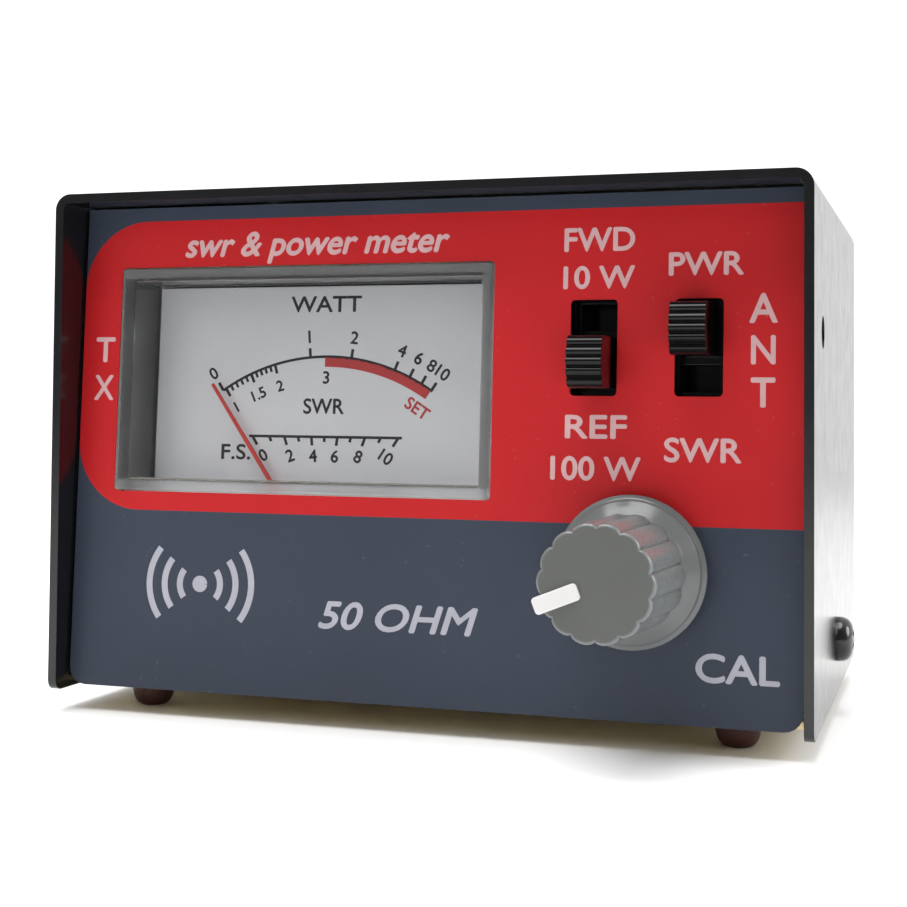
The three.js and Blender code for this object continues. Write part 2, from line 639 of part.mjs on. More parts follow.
// The potentiometer and the knob are drawn in the knob's own frame.
const onKnob = [0, 0, 0];

function potBodySolid() {
  const { radius, front, rear, wall } = POT;
  const can = rod(radius, [front, rear], 'y', onKnob);
  const hollow = rod(radius - wall, [front + wall, rear - wall], 'y', onKnob);
  return cut(can, hollow, rod(4.2, [front - 1, front + 2], 'y', onKnob, 16));
}

// The disc on the shaft's inner end, with the finger that runs on the track.
function wiperSolid() {
  const { rear } = SHAFT;
  const disc = rod(6.6, [rear + GAP, rear + 1.1], 'y', onKnob, 20);
  return join(disc, block([-0.8, 0.8], [rear + 1, rear + 2.6], [4, 6]));
}

function bushingSolid() {
  const { front } = POT;
  return turned([
    [SHAFT.radius + GAP, 3], [3.6, 3], [3.6, front - 1], [5.8, front - 1],
    [5.8, front - SEAT], [SHAFT.radius + GAP, front - SEAT], [SHAFT.radius + GAP, 3],
  ], 'y', onKnob, 16);
}

// The knob: a bell-shaped skirt under a slightly tapered body with convex lobes all round.
function knobOutline(radius, depth, steps = 4) {
  const count = KNOB_LOBES * steps;
  return Array.from({ length: count }, (_, i) => {
    const angle = (i / count) * 2 * Math.PI;
    const lobe = Math.abs(Math.cos((KNOB_LOBES / 2) * angle));
    const reach = radius - depth * (1 - lobe);
    return [reach * Math.cos(angle), reach * Math.sin(angle)];
  });
}

// A skin between outlines at several depths, closed by a fan at each end.
function lofted(levels) {
  const rings = levels.map(({ outline, y }) => outline.map(([x, z]) => [x, y, z]));
  const count = rings[0].length;
  const middle = (level) => [0, level.y, 0];
  const positions = [...rings.flat(2), ...middle(levels[0]), ...middle(levels.at(-1))];
  const faces = [];
  for (let level = 0; level + 1 < rings.length; level += 1) {
    for (let i = 0; i < count; i += 1) {
      const next = (i + 1) % count;
      const [a, b] = [level * count + i, level * count + next];
      faces.push(a, b, b + count, a, b + count, a + count);
    }
  }
  const last = (rings.length - 1) * count;
  for (let i = 0; i < count; i += 1) {
    const next = (i + 1) % count;
    faces.push(rings.length * count, next, i);
    faces.push(rings.length * count + 1, last + i, last + next);
  }
  const geometry = new THREE.BufferGeometry();
  geometry.setAttribute('position', new THREE.Float32BufferAttribute(positions, 3));
  geometry.setIndex(faces);
  return toSolid(geometry);
}

function knobSolid() {
  const { rear, front } = KNOB;
  const skirt = turned([
    [0, front + 6], [6.9, rear - 4.2], [7.5, rear - 2.6], [8.3, rear - 1.7], [8.9, rear - 1.3],
    [KNOB_SKIRT, rear - 0.9], [KNOB_SKIRT, rear], [0, rear],
  ], 'y', onKnob, 32);
  const body = lofted([
    { outline: knobOutline(6.6, 0.55), y: front },
    { outline: knobOutline(6.85, 0.65), y: front + 0.3 },
    { outline: knobOutline(7.25, 0.7), y: rear - 2.4 },
  ]);
  const bore = rod(SHAFT.radius + GAP, [SHAFT.front - GAP, rear + 1], 'y', onKnob, 20);
  const groove = pointerBlock(GAP, [front - 1, front + POINTER.sunk + GAP]);
  return cut(join(skirt, body), bore, groove);
}

// A bar on the knob's face that points out from its middle, at the knob's resting angle.
function pointerBlock(margin, depths) {
  const half = POINTER.width / 2 + margin;
  return block([-half, half], depths, [POINTER.from - margin, POINTER.to + margin])
    .rotate([0, -KNOB_REST, 0]);
}

function addControls() {
  const names = ['range', 'function'];
  add(swrMeter, 'control_board', boardSolid(), FINISH.board);
  names.forEach((name, i) => {
    add(swrMeter, `${name}_switch_housing`, switchHousingSolid(LEVER_X[i]), FINISH.blackPlastic);
    add(swrMeter, `${name}_switch_lever`, leverSolid(LEVER_X[i], LEVER_Z[i]), FINISH.blackPlastic);
    add(swrMeter, `${name}_switch_contact`, contactSolid(LEVER_X[i], LEVER_Z[i]), FINISH.brass);
  });
  const { radius, front, rear } = SHAFT;
  add(knobAxis, 'pot_body', potBodySolid(), FINISH.steel);
  add(knobAxis, 'pot_bushing', bushingSolid(), FINISH.nickel);
  add(knobAxis, 'pot_shaft', rod(radius, [front, rear], 'y', onKnob), FINISH.whitePlastic);
  add(knobAxis, 'pot_wiper', wiperSolid(), FINISH.brass);
  add(knobAxis, 'knob', knobSolid(), FINISH.greyPlastic);
  const bar = pointerBlock(0, [KNOB.front - POINTER.raise, KNOB.front + POINTER.sunk]);
  add(knobAxis, 'knob_pointer', bar, FINISH.whitePlastic);
}

// ---- Directional coupler and sockets ------------------------------------------------------------

const REAR_END = CHASSIS.rear + SEAT + SOCKET.plate + SOCKET.length;

// Two opposite corners of a socket's flange take screws.
function flangeCorners(x) {
  const { offset } = SOCKET_HOLE;
  return [[x - offset, SOCKET.z + offset], [x + offset, SOCKET.z - offset]];
}

function couplerSolid() {
  const { halfWidth, bottom, top, front, rear } = COUPLER;
  const sheet = prism(rectangle([-halfWidth, halfWidth], [bottom, top], 1, 3), 'y', [front, rear]);
  const holes = [-SOCKET.x, SOCKET.x].map(
    (x) => rod(CONTACT.tail + GAP, [front - 1, rear + 1], 'y', [x, 0, SOCKET.z], 16));
  return cut(sheet, ...holes);
}

// An axial part: a small body along x on two leads that turn back to the board.
function axialSolid(x, z, radius, length) {
  const y = COUPLER_PART_Y;
  const reach = length / 2 + 2;
  const body = turned([
    [0, -length / 2], [radius * 0.8, -length / 2], [radius, 0.3 - length / 2],
    [radius, length / 2 - 0.3], [radius * 0.8, length / 2], [0, length / 2],
  ], 'x', [x, y, z], 12);
  const lead = rod(0.3, [x - reach, x + reach], 'x', [0, y, z], 8);
  const legs = [-reach, reach].map(
    (side) => rod(0.3, [y - 0.3, COUPLER.front - SEAT], 'y', [x + side, 0, z], 8));
  return join(body, lead, ...legs);
}

function shellSolid(x) {
  const { flange, plate, barrel, bore } = SOCKET;
  const face = CHASSIS.rear + SEAT;
  const half = flange / 2;
  const end = REAR_END;
  const heights = [SOCKET.z - half, SOCKET.z + half];
  const square = prism(rectangle([x - half, x + half], heights, 2, 3), 'y', [face, face + plate]);
  const tube = turned([
    [0, face + 0.5], [barrel, face + 0.5], [barrel, end - 0.6], [barrel - 0.6, end], [0, end],
  ], 'y', [x, 0, SOCKET.z], 24);
  const holes = [[-1, -1], [-1, 1], [1, -1], [1, 1]].map(([a, b]) => rod(
    SOCKET_HOLE.radius, [face - 1, face + plate + 1], 'y',
    [x + a * SOCKET_HOLE.offset, 0, SOCKET.z + b * SOCKET_HOLE.offset], 12));
  const hollow = rod(bore, [face - 1, end + 1], 'y', [x, 0, SOCKET.z], 24);
  return cut(join(square, tube), hollow, ...holes);
}

// The insulator fills the shell, leaves a ring-shaped recess at the mouth, and reaches inside.
function insulatorSolid(x) {
  const end = REAR_END;
  const bore = CONTACT.radius + GAP;
  const inner = SOCKET.bore - GAP;
  const seat = CHASSIS.rear - CHASSIS.sheet - GAP;
  return turned([
    [bore, STUB.front], [STUB.radius, STUB.front], [STUB.radius, seat], [inner, seat],
    [inner, end - 5], [4.6, end - 5], [4.6, end - 1], [bore, end - 1], [bore, STUB.front],
  ], 'y', [x, 0, SOCKET.z], 20);
}

// The centre contact: a hollow front that takes the plug's pin, and a tail through the board.
function centreContactSolid(x) {
  const end = REAR_END - 0.8;
  const { radius, bore, tail, front } = CONTACT;
  return turned([
    [0, front], [tail, front], [tail, 61.4], [radius, 61.4], [radius, end], [bore, end],
    [bore, end - 9], [0, end - 9],
  ], 'y', [x, 0, SOCKET.z], 16);
}

function addCoupler() {
  add(swrMeter, 'coupler_board', couplerSolid(), FINISH.board);
  for (const [name, sign] of [['forward', -1], ['reflected', 1]]) {
    add(swrMeter, `diode_${name}`, axialSolid(sign * 12, 43, 1, 4), FINISH.glassBody);
    add(swrMeter, `resistor_${name}`, axialSolid(sign * 12, 31, 1.2, 6), FINISH.ceramic);
  }
  for (const [name, sign] of [['tx', -1], ['ant', 1]]) {
    const x = sign * SOCKET.x;
    add(swrMeter, `${name}_socket_shell`, shellSolid(x), FINISH.nickel);
    add(swrMeter, `${name}_socket_insulator`, insulatorSolid(x), FINISH.whitePlastic);
    add(swrMeter, `${name}_socket_contact`, centreContactSolid(x), FINISH.brass);
    flangeCorners(x).forEach(([cornerX, cornerZ], i) => {
      const place = [cornerX, CHASSIS.rear + SOCKET.plate + 2 * SEAT, cornerZ];
      add(swrMeter, `${name}_socket_screw_${i + 1}`,
        screwAt(FLANGE_SCREW, 5, [0, -1, 0], place), FINISH.nickel);
    });
  }
}

// Hook-up wires, each soldered at both ends inside the case: straight off one piece, low across the
// floor, and straight on to the control board.
function addWires() {
  const board = BOARD.rear + GAP;
  const coupler = COUPLER.front - GAP;
  const routes = {
    meter_wire_positive: {
      points: [[-4, 37, 14.2], [-4, 40, 12], [5, 40, 7.5], [22, 30, 9], [28, 22, 19]],
      end: [28, 20], material: FINISH.redWire,
    },
    meter_wire_negative: {
      points: [[-30, 37, 14.2], [-30, 40.5, 11], [-14, 43, 6.5], [16, 38, 7], [33, 24, 15]],
      end: [33, 16], material: FINISH.blackWire,
    },
    sense_wire_forward: {
      points: [[-5, coupler, 30], [-5, 53.5, 29], [1, 50, 12], [20, 44, 7.5], [38, 24, 21]],
      end: [38, 24], material: FINISH.yellowWire,
    },
    sense_wire_reflected: {
      points: [[5, coupler, 30], [5, 53.5, 29], [12, 50, 10], [30, 45, 8.5], [43, 25, 25]],
      end: [43, 28], material: FINISH.blueWire,
    },
  };
  for (const [name, { points, end: [x, z], material }] of Object.entries(routes)) {
    add(swrMeter, name, wire([...points, [x, board + 2, z], [x, board, z]], 0.6), material);
  }
}

addCase();
addMeter();
addControls();
addCoupler();
addWires();

const limits = new THREE.Box3().setFromObject(swrMeter, true);
swrMeter.position.y = -(limits.min.y + limits.max.y) / 2;

export default swrMeter;
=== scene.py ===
"""The looks of a bench SWR and power meter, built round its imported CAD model.

Lengths in the tables below are millimetres. The panel's own frame has x across, y into the case from
the label's face, and z up along the leaning panel.
"""

import json
import math

import bmesh
import bpy
from mathutils import Matrix, Vector


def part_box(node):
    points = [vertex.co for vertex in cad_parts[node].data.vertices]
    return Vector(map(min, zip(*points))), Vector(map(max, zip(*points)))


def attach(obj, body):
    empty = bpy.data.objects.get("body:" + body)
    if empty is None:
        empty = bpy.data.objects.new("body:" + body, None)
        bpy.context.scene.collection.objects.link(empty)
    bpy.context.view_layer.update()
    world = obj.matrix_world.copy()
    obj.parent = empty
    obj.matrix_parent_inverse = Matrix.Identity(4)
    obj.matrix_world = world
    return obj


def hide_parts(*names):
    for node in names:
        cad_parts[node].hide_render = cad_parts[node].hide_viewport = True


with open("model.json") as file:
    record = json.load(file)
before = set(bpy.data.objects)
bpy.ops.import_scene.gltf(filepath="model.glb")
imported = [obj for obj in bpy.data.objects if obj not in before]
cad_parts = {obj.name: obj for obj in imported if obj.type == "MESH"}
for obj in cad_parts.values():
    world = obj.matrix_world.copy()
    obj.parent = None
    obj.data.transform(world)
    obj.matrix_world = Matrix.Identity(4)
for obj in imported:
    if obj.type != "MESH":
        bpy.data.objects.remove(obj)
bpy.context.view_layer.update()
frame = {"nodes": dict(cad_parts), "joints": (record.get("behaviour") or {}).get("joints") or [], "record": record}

MM = 0.001
BODY_OF = {node: body for body, nodes in frame["record"]["behaviour"]["bodies"].items() for node in nodes}
SLOT_OF = {part["node"]: part["material_slot"] for part in frame["record"]["subparts"]}
JOINT = {joint["name"]: joint for joint in frame["joints"]}


# ---- Camera, floor and light, in metres ----

CAMERA_RIGHT, CAMERA_AWAY, CAMERA_DOWN = 0.0680, 0.191565, 0.02865  # from the cover's front and top
CAMERA_LEFT, CAMERA_RISE, CAMERA_ROLL = 17.78, 1.97, 0.48  # degrees
CAMERA_LENS = 63.1
CAMERA_SHIFT = -0.1133

FLOOR_SIZE = 2.4
FLOOR_FADE = (0.4, 1.0)  # how far out the floor starts to fade, and where it has gone
WORLD_FRONT, WORLD_BACK = 0.17, 1.3
WORLD_TURN = (-0.7, 0.25)  # where the studio brightens, from -1 at the front to 1 at the back
TOP_LIGHT = {"place": (-0.1, -0.12, 0.8), "size": 0.7, "power": 7.6}
KEY_LIGHT = {"place": (-0.45, -0.7, 0.55), "size": 0.5, "power": 1.0}
FILL_LIGHT = {"place": (0.9, 0.1, 0.45), "size": 0.6, "power": 6.5}


def add_camera():
    camera = bpy.data.objects.new("camera", bpy.data.cameras.new("camera"))
    camera.data.lens = CAMERA_LENS
    camera.data.shift_y = CAMERA_SHIFT
    camera.data.clip_start = 0.01
    low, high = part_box("cover")
    place = Vector((CAMERA_RIGHT, low.y - CAMERA_AWAY, high.z - CAMERA_DOWN))
    turn = Matrix.Rotation(math.radians(CAMERA_LEFT), 4, "Z")
    tilt = Matrix.Rotation(math.radians(90 + CAMERA_RISE), 4, "X")
    roll = Matrix.Rotation(math.radians(CAMERA_ROLL), 4, "Z")
    camera.matrix_world = Matrix.Translation(place) @ turn @ tilt @ roll
    bpy.context.scene.collection.objects.link(camera)
    bpy.context.scene.camera = camera


def add_light(name, place, size, power):
    lamp = bpy.data.lights.new(name, "AREA")
    lamp.shape = "DISK"
    lamp.size = size
    lamp.energy = power
    light = bpy.data.objects.new(name, lamp)
    light.location = place
    light.rotation_euler = (-Vector(place)).to_track_quat("-Z", "Y").to_euler()
    bpy.context.scene.collection.objects.link(light)


def add_world():
    """A white studio. Its far side lights the object more than the side the camera stands on."""
    world = bpy.data.worlds.new("studio")
    world.use_nodes = True
    tree = world.node_tree
    direction = tree.nodes.new("ShaderNodeTexCoord").outputs["Generated"]
    split = tree.nodes.new("ShaderNodeSeparateXYZ")
    spread = tree.nodes.new("ShaderNodeMapRange")
    spread.interpolation_type = "SMOOTHSTEP"
    spread.inputs["From Min"].default_value = WORLD_TURN[0]
    spread.inputs["From Max"].default_value = WORLD_TURN[1]
    spread.inputs["To Min"].default_value = WORLD_FRONT
    spread.inputs["To Max"].default_value = WORLD_BACK
    tree.nodes["Background"].inputs["Color"].default_value = (1, 1, 1, 1)
    tree.links.new(direction, split.inputs[0])
    tree.links.new(split.outputs["Y"], spread.inputs["Value"])
    seen = tree.nodes.new("ShaderNodeMath")
    seen.operation = "MAXIMUM"
    tree.links.new(tree.nodes.new("ShaderNodeLightPath").outputs["Is Camera Ray"], seen.inputs[0])
    tree.links.new(spread.outputs["Result"], seen.inputs[1])
    tree.links.new(seen.outputs[0], tree.nodes["Background"].inputs["Strength"])
    bpy.context.scene.world = world


def add_floor():
    mesh = bpy.data.meshes.new("floor")
    half = FLOOR_SIZE / 2
    corners = [(-half, -half, 0), (half, -half, 0), (half, half, 0), (-half, half, 0)]
    mesh.from_pydata(corners, [], [(0, 1, 2, 3)])
    floor = bpy.data.objects.new("floor", mesh)
    bpy.context.scene.collection.objects.link(floor)
    mesh.materials.append(floor_paint("floor_paint"))


# ---- Materials ----


class Shader:
    """A material's node tree, with short calls for the nodes used here."""

    def __init__(self, name):
        self.material = bpy.data.materials.new(name)
        self.material.use_nodes = True
        self.tree = self.material.node_tree
        self.base = self.tree.nodes["Principled BSDF"]
        self.place = self.tree.nodes.new("ShaderNodeTexCoord").outputs["Object"]

    def put(self, socket, value):
        """Gives a socket a plain value or another node's output."""
        if isinstance(value, bpy.types.NodeSocket):
            self.tree.links.new(value, socket)
        elif isinstance(value, tuple) and len(value) == 3 and len(socket.default_value) == 4:
            socket.default_value = (*value, 1.0)
        else:
            socket.default_value = value

    def set(self, **sockets):
        for name, value in sockets.items():
            self.put(self.base.inputs[name.replace("_", " ")], value)

    def math(self, operation, *values):
        node = self.tree.nodes.new("ShaderNodeMath")
        node.operation = operation
        for socket, value in zip(node.inputs, values):
            self.put(socket, value)
        return node.outputs[0]

    def noise(self, size, detail=2.0, stretch=(1, 1, 1)):
        """Noise from 0 to 1 whose features are about this many millimetres across."""
        mapping = self.tree.nodes.new("ShaderNodeMapping")
        mapping.inputs["Scale"].default_value = [1 / each for each in stretch]
        self.put(mapping.inputs["Vector"], self.place)
        node = self.tree.nodes.new("ShaderNodeTexNoise")
        node.inputs["Scale"].default_value = 1 / (size * MM)
        node.inputs["Detail"].default_value = detail
        self.put(node.inputs["Vector"], mapping.outputs["Vector"])
        return node.outputs["Fac"]

    def between(self, value, start, stop, low=0.0, high=1.0):
        """Maps start..stop to low..high, and holds the ends."""
        node = self.tree.nodes.new("ShaderNodeMapRange")
        for name, each in (("From Min", start), ("From Max", stop), ("To Min", low), ("To Max", high)):
            node.inputs[name].default_value = each
        self.put(node.inputs["Value"], value)
        return node.outputs["Result"]

    def mix(self, factor, first, second):
        node = self.tree.nodes.new("ShaderNodeMix")
        node.data_type = "RGBA"
        self.put(node.inputs["Factor"], factor)
        self.put(node.inputs["A"], first)
        self.put(node.inputs["B"], second)
        return node.outputs["Result"]

    def bump(self, height, depth):
        """A bump this many millimetres deep."""
        node = self.tree.nodes.new("ShaderNodeBump")
        node.inputs["Strength"].default_value = 1.0
        node.inputs["Distance"].default_value = depth * MM
        self.put(node.inputs["Height"], height)
        return node.outputs["Normal"]

    def blend(self, factor, other):
        """Gives way to another shader by a factor."""
        mixed = self.tree.nodes.new("ShaderNodeMixShader")
        self.put(mixed.inputs[0], factor)
        self.put(mixed.inputs[1], self.base.outputs[0])
        self.put(mixed.inputs[2], other.outputs[0])
        self.put(self.tree.nodes["Material Output"].inputs["Surface"], mixed.outputs[0])

    def edges(self, start, stop):
        """0 on flat faces and 1 along edges that stand out."""
        point = self.tree.nodes.new("ShaderNodeNewGeometry").outputs["Pointiness"]
        return self.between(point, start, stop)


NOISE = (0.3, 0.7)  # where most of a noise's values are
WORN = (0.53, 0.6)  # how pointed an edge is where wear starts, and where it is full


def shade(colour, factor):
    return tuple(min(1.0, channel * factor) for channel in colour)


def surface(name, colour, roughness, metallic=0.0, grain=0.5, depth=0.0, broad=12, mottle=0.06, spread=0.05,
            stretch=(1, 1, 1), worn=None, **sockets):
    """A finish with cloudy colour and gloss, a fine grain, and worn edges if a worn colour is given."""
    shader = Shader(name)
    cloud = shader.noise(broad, detail=4)
    tint = shader.mix(shader.between(cloud, *NOISE), shade(colour, 1 - mottle), shade(colour, 1 + mottle))
    smooth, rough = roughness - spread, roughness + spread
    gloss = shader.between(shader.noise(broad / 3, detail=6), *NOISE, smooth, rough)
    if worn is not None:
        patches = shader.between(shader.noise(2, 5), 0.4, 0.6)
        patchy = shader.math("MULTIPLY", shader.edges(*WORN), patches)
        tint = shader.mix(patchy, tint, worn)
    shader.set(Base_Color=tint, Roughness=gloss, Metallic=metallic, **sockets)
    if depth:
        shader.set(Normal=shader.bump(shader.noise(grain, detail=3, stretch=stretch), depth))
    return shader.material


def floor_paint(name):
    """White paint that fades out into the white studio."""
    shader = Shader(name)
    cloud = shader.noise(300)
    shader.set(Base_Color=shader.mix(cloud, (0.96, 0.96, 0.96), (0.98, 0.98, 0.98)), Roughness=0.7)
    distance = shader.tree.nodes.new("ShaderNodeVectorMath")
    distance.operation = "LENGTH"
    shader.put(distance.inputs[0], shader.place)
    gone = shader.tree.nodes.new("ShaderNodeBsdfTransparent")
    shader.blend(shader.between(distance.outputs["Value"], *FLOOR_FADE), gone)
    return shader.material


# The label's print, in the panel's frame.
RED_FIELD = {"left": -49.8, "low": 24.15, "high": 64.2, "corner": 9.5}
LABEL_DARK, LABEL_RED = (0.037, 0.047, 0.07), (0.49, 0.011, 0.014)
PRINT_EDGE = 0.04  # how far the red field fades to each side of its edge


def label_print(name):
    """Satin print: a dark ground and a red field whose two left corners are round."""
    shader = Shader(name)
    across, up = panel_coordinates(shader)
    corner = RED_FIELD["corner"]
    middle = (RED_FIELD["low"] + RED_FIELD["high"]) / 2
    half = (RED_FIELD["high"] - RED_FIELD["low"]) / 2
    beyond_left = shader.math("SUBTRACT", RED_FIELD["left"] + corner, across)
    from_middle = shader.math("ABSOLUTE", shader.math("SUBTRACT", up, middle))
    beyond_side = shader.math("SUBTRACT", from_middle, half - corner)
    reach = [shader.math("MAXIMUM", each, 0.0) for each in (beyond_left, beyond_side)]
    squares = [shader.math("MULTIPLY", each, each) for each in reach]
    outside = shader.math("SQRT", shader.math("ADD", *squares))
    field = shader.between(outside, corner - PRINT_EDGE, corner + PRINT_EDGE, 1.0, 0.0)
    cloud = shader.between(shader.noise(25, detail=3), *NOISE)
    dark = shader.mix(cloud, shade(LABEL_DARK, 0.93), shade(LABEL_DARK, 1.07))
    red = shader.mix(cloud, shade(LABEL_RED, 0.95), shade(LABEL_RED, 1.05))
    dust = shader.between(shader.noise(0.8, detail=8), 0.68, 0.76, 0.0, 0.06)
    print_colour = shader.mix(dust, shader.mix(field, dark, red), (0.7, 0.7, 0.7))
    gloss = shader.between(shader.noise(6, detail=5), *NOISE, 0.42, 0.52)
    shader.set(Base_Color=print_colour, Roughness=gloss, Specular_IOR_Level=0.25)
    shader.set(Normal=shader.bump(shader.noise(0.35, detail=2), 0.004))
    return shader.material


def panel_coordinates(shader):
    """The place on the leaning panel, in millimetres: across it, and up along it."""
    from_foot = shader.tree.nodes.new("ShaderNodeVectorMath")
    from_foot.operation = "SUBTRACT"
    shader.put(from_foot.inputs[0], shader.place)
    from_foot.inputs[1].default_value = PANEL.translation
    values = []
    for axis in ((1, 0, 0), (0, math.sin(LEAN), math.cos(LEAN))):
        dot = shader.tree.nodes.new("ShaderNodeVectorMath")
        dot.operation = "DOT_PRODUCT"
        shader.put(dot.inputs[0], from_foot.outputs["Vector"])
        dot.inputs[1].default_value = [each / MM for each in axis]
        values.append(dot.outputs["Value"])
    return values


# A milky, rougher band round the lens's front, in the panel's frame. It is painted light that stands in for light
# caught in the acrylic's edges. Its left end lies beyond the lens's left edge, so the band is narrower there,
# which paints that side darker.
LENS_GLOW_BAND = {"left": -44.9, "right": 10.1, "low": 26.8, "high": 57.6, "wide": 1.5, "soft": 0.3, "painted_glow": 0.07,
            "rough": 0.42}


def clear_plastic(name):
    """Acrylic with a milky, rougher band round its front. The band is painted light standing in for light caught
    in its edges, and it is narrower at the left, which paints shade there. It lets the lamps' light straight in.
    """
    shader = Shader(name)
    across, up = panel_coordinates(shader)
    sides = []
    spans = ((across, LENS_GLOW_BAND["left"], LENS_GLOW_BAND["right"]), (up, LENS_GLOW_BAND["low"], LENS_GLOW_BAND["high"]))
    for place, low, high in spans:
        from_middle = shader.math("ABSOLUTE", shader.math("SUBTRACT", place, (low + high) / 2))
        sides.append(shader.math("SUBTRACT", (high - low) / 2, from_middle))
    in_from_edge = shader.math("MINIMUM", *sides)
    wide, soft = LENS_GLOW_BAND["wide"], LENS_GLOW_BAND["soft"]
    # Painted light: a milky band along the lens's edges stands in for light caught in the acrylic. It is narrower
    # at the left, where it paints shade.
    rim = shader.between(in_from_edge, wide - soft, wide + soft, LENS_GLOW_BAND["rough"], 0.0)
    painted_glow = shader.between(in_from_edge, wide - soft, wide + soft, 1 - LENS_GLOW_BAND["painted_glow"], 1.0)
    scratches = shader.noise(0.7, detail=6, stretch=(14, 1, 1))
    shader.set(
        Base_Color=(0.965, 0.968, 0.972), IOR=1.49, Transmission_Weight=painted_glow,
        Roughness=shader.math("ADD", rim, shader.between(scratches, 0.45, 0.75, 0.0, 0.06)),
    )
    shader.set(Normal=shader.bump(shader.noise(9, detail=1), 0.004))
    rays = shader.tree.nodes.new("ShaderNodeLightPath")
    through = shader.tree.nodes.new("ShaderNodeBsdfTransparent")
    through.inputs["Color"].default_value = (0.94, 0.94, 0.945, 1)
    shader.blend(rays.outputs["Is Shadow Ray"], through)
    return shader.material


def passivated_zinc(name):
    """Yellow passivated steel: gold, with greenish and pinkish clouds and fine rolling lines."""
    shader = Shader(name)
    cloud = shader.noise(9, detail=4)
    gold = shader.mix(shader.between(cloud, 0.35, 0.65), (0.56, 0.44, 0.19), (0.62, 0.51, 0.3))
    tint = shader.mix(shader.between(shader.noise(5, detail=3), 0.55, 0.75), gold, (0.49, 0.51, 0.32))
    lines = shader.noise(0.4, detail=4, stretch=(30, 1, 1))
    gloss = shader.between(lines, *NOISE, 0.28, 0.46)
    shader.set(Base_Color=tint, Metallic=1.0, Roughness=gloss, Normal=shader.bump(lines, 0.004))
    return shader.material


def phenolic_board(name):
    """Brown laminate with paper fibres under a thin lacquer."""
    shader = Shader(name)
    fibres = shader.noise(0.5, detail=5, stretch=(1, 1, 7))
    tint = shader.mix(shader.between(fibres, 0.35, 0.65), (0.34, 0.19, 0.06), (0.46, 0.28, 0.1))
    gloss = shader.between(shader.noise(3), *NOISE, 0.35, 0.5)
    shader.set(Base_Color=tint, Roughness=gloss, Coat_Weight=0.3, Normal=shader.bump(fibres, 0.01))
    return shader.material


def banded_body(name, colour, band, pitch):
    """A small part's body with colour rings along x."""
    shader = Shader(name)
    split = shader.tree.nodes.new("ShaderNodeSeparateXYZ")
    shader.put(split.inputs[0], shader.place)
    wave = shader.math("SINE", shader.math("MULTIPLY", split.outputs["X"], math.tau / (pitch * MM)))
    ring = shader.between(wave, 0.55, 0.7)
    speck = shader.between(shader.noise(0.3, 4), 0.4, 0.6)
    shader.set(
        Base_Color=shader.mix(ring, shader.mix(speck, colour, shade(colour, 0.88)), band),
        Roughness=shader.between(speck, 0, 1, 0.3, 0.4), Normal=shader.bump(speck, 0.01),
    )
    return shader.material


# The plain finishes by their slots: what each of them gives surface().
FINISHES = {
    "black_paint": dict(colour=(0.006, 0.006, 0.007), roughness=0.21, grain=1.1, depth=0.0015, spread=0.02),
    "black_screw": dict(colour=(0.012, 0.012, 0.013), roughness=0.17, grain=0.6, depth=0.004,
                        worn=(0.2, 0.2, 0.21)),
    "rubber_foot": dict(colour=(0.052, 0.012, 0.009), roughness=0.62, grain=0.35, depth=0.03, mottle=0.15),
    "dial": dict(colour=(0.77, 0.78, 0.8), roughness=0.5, grain=0.25, depth=0.003, mottle=0.02),
    "black_plastic": dict(colour=(0.004, 0.004, 0.0045), roughness=0.12, grain=0.5, depth=0.002, spread=0.04,
                          Specular_IOR_Level=0.22),
    "needle_red": dict(colour=(0.62, 0.035, 0.025), roughness=0.4, grain=0.3, depth=0.004),
    "foam": dict(colour=(0.02, 0.02, 0.02), roughness=0.95, grain=0.5, depth=0.2, mottle=0.3),
    "magnet": dict(colour=(0.09, 0.09, 0.095), roughness=0.55, metallic=0.6, grain=0.3, depth=0.03,
                   mottle=0.2),
    "steel": dict(colour=(0.48, 0.49, 0.5), roughness=0.32, metallic=1.0, grain=0.3, depth=0.006,
                  stretch=(1, 20, 1), spread=0.1),
    "brass": dict(colour=(0.66, 0.45, 0.16), roughness=0.28, metallic=1.0, grain=0.3, depth=0.004,
                  spread=0.1),
    "copper_coil": dict(colour=(0.6, 0.26, 0.1), roughness=0.35, metallic=1.0, grain=0.12, depth=0.05,
                        stretch=(20, 1, 20)),
    "nickel": dict(colour=(0.42, 0.42, 0.405), roughness=0.24, metallic=1.0, grain=0.4, depth=0.004,
                   spread=0.08, worn=(0.4, 0.33, 0.22)),
    "knob_grey": dict(colour=(0.135, 0.143, 0.143), roughness=0.22, grain=0.18, depth=0.003, broad=6,
                      mottle=0.03),
    "knob_face": dict(colour=(0.092, 0.096, 0.09), roughness=0.5, grain=0.18, depth=0.012, broad=6,
                      mottle=0.04),
    "white_plastic": dict(colour=(0.68, 0.67, 0.66), roughness=0.22, grain=1.5, depth=0.003, mottle=0.02),
}
WIRES = {"wire_red": (0.42, 0.02, 0.015), "wire_black": (0.015, 0.015, 0.015),
         "wire_yellow": (0.65, 0.42, 0.04), "wire_blue": (0.02, 0.07, 0.3)}


def make_materials():
    made = {name: surface(name, **finish) for name, finish in FINISHES.items()}
    made |= {name: surface(name, colour, 0.45, grain=0.6, depth=0.01) for name, colour in WIRES.items()}
    made["zinc"] = passivated_zinc("zinc")
    made["label"] = label_print("label")
    made["clear"] = clear_plastic("clear")
    made["circuit_board"] = phenolic_board("circuit_board")
    made["diode_glass"] = banded_body("diode_glass", (0.42, 0.12, 0.04), (0.01, 0.01, 0.01), pitch=4)
    made["resistor_body"] = banded_body("resistor_body", (0.6, 0.45, 0.27), (0.35, 0.03, 0.02), pitch=1.5)
    return made


def ink(name, colour):
    return surface(name, colour, 0.45, grain=0.2, depth=0.002, broad=3, mottle=0.05)


# ---- Mesh helpers ----

TO_METRES = Matrix.Scale(MM, 4)
UPRIGHT = Matrix.Rotation(math.pi / 2, 4, "X")  # turns a flat drawing so that it faces the front


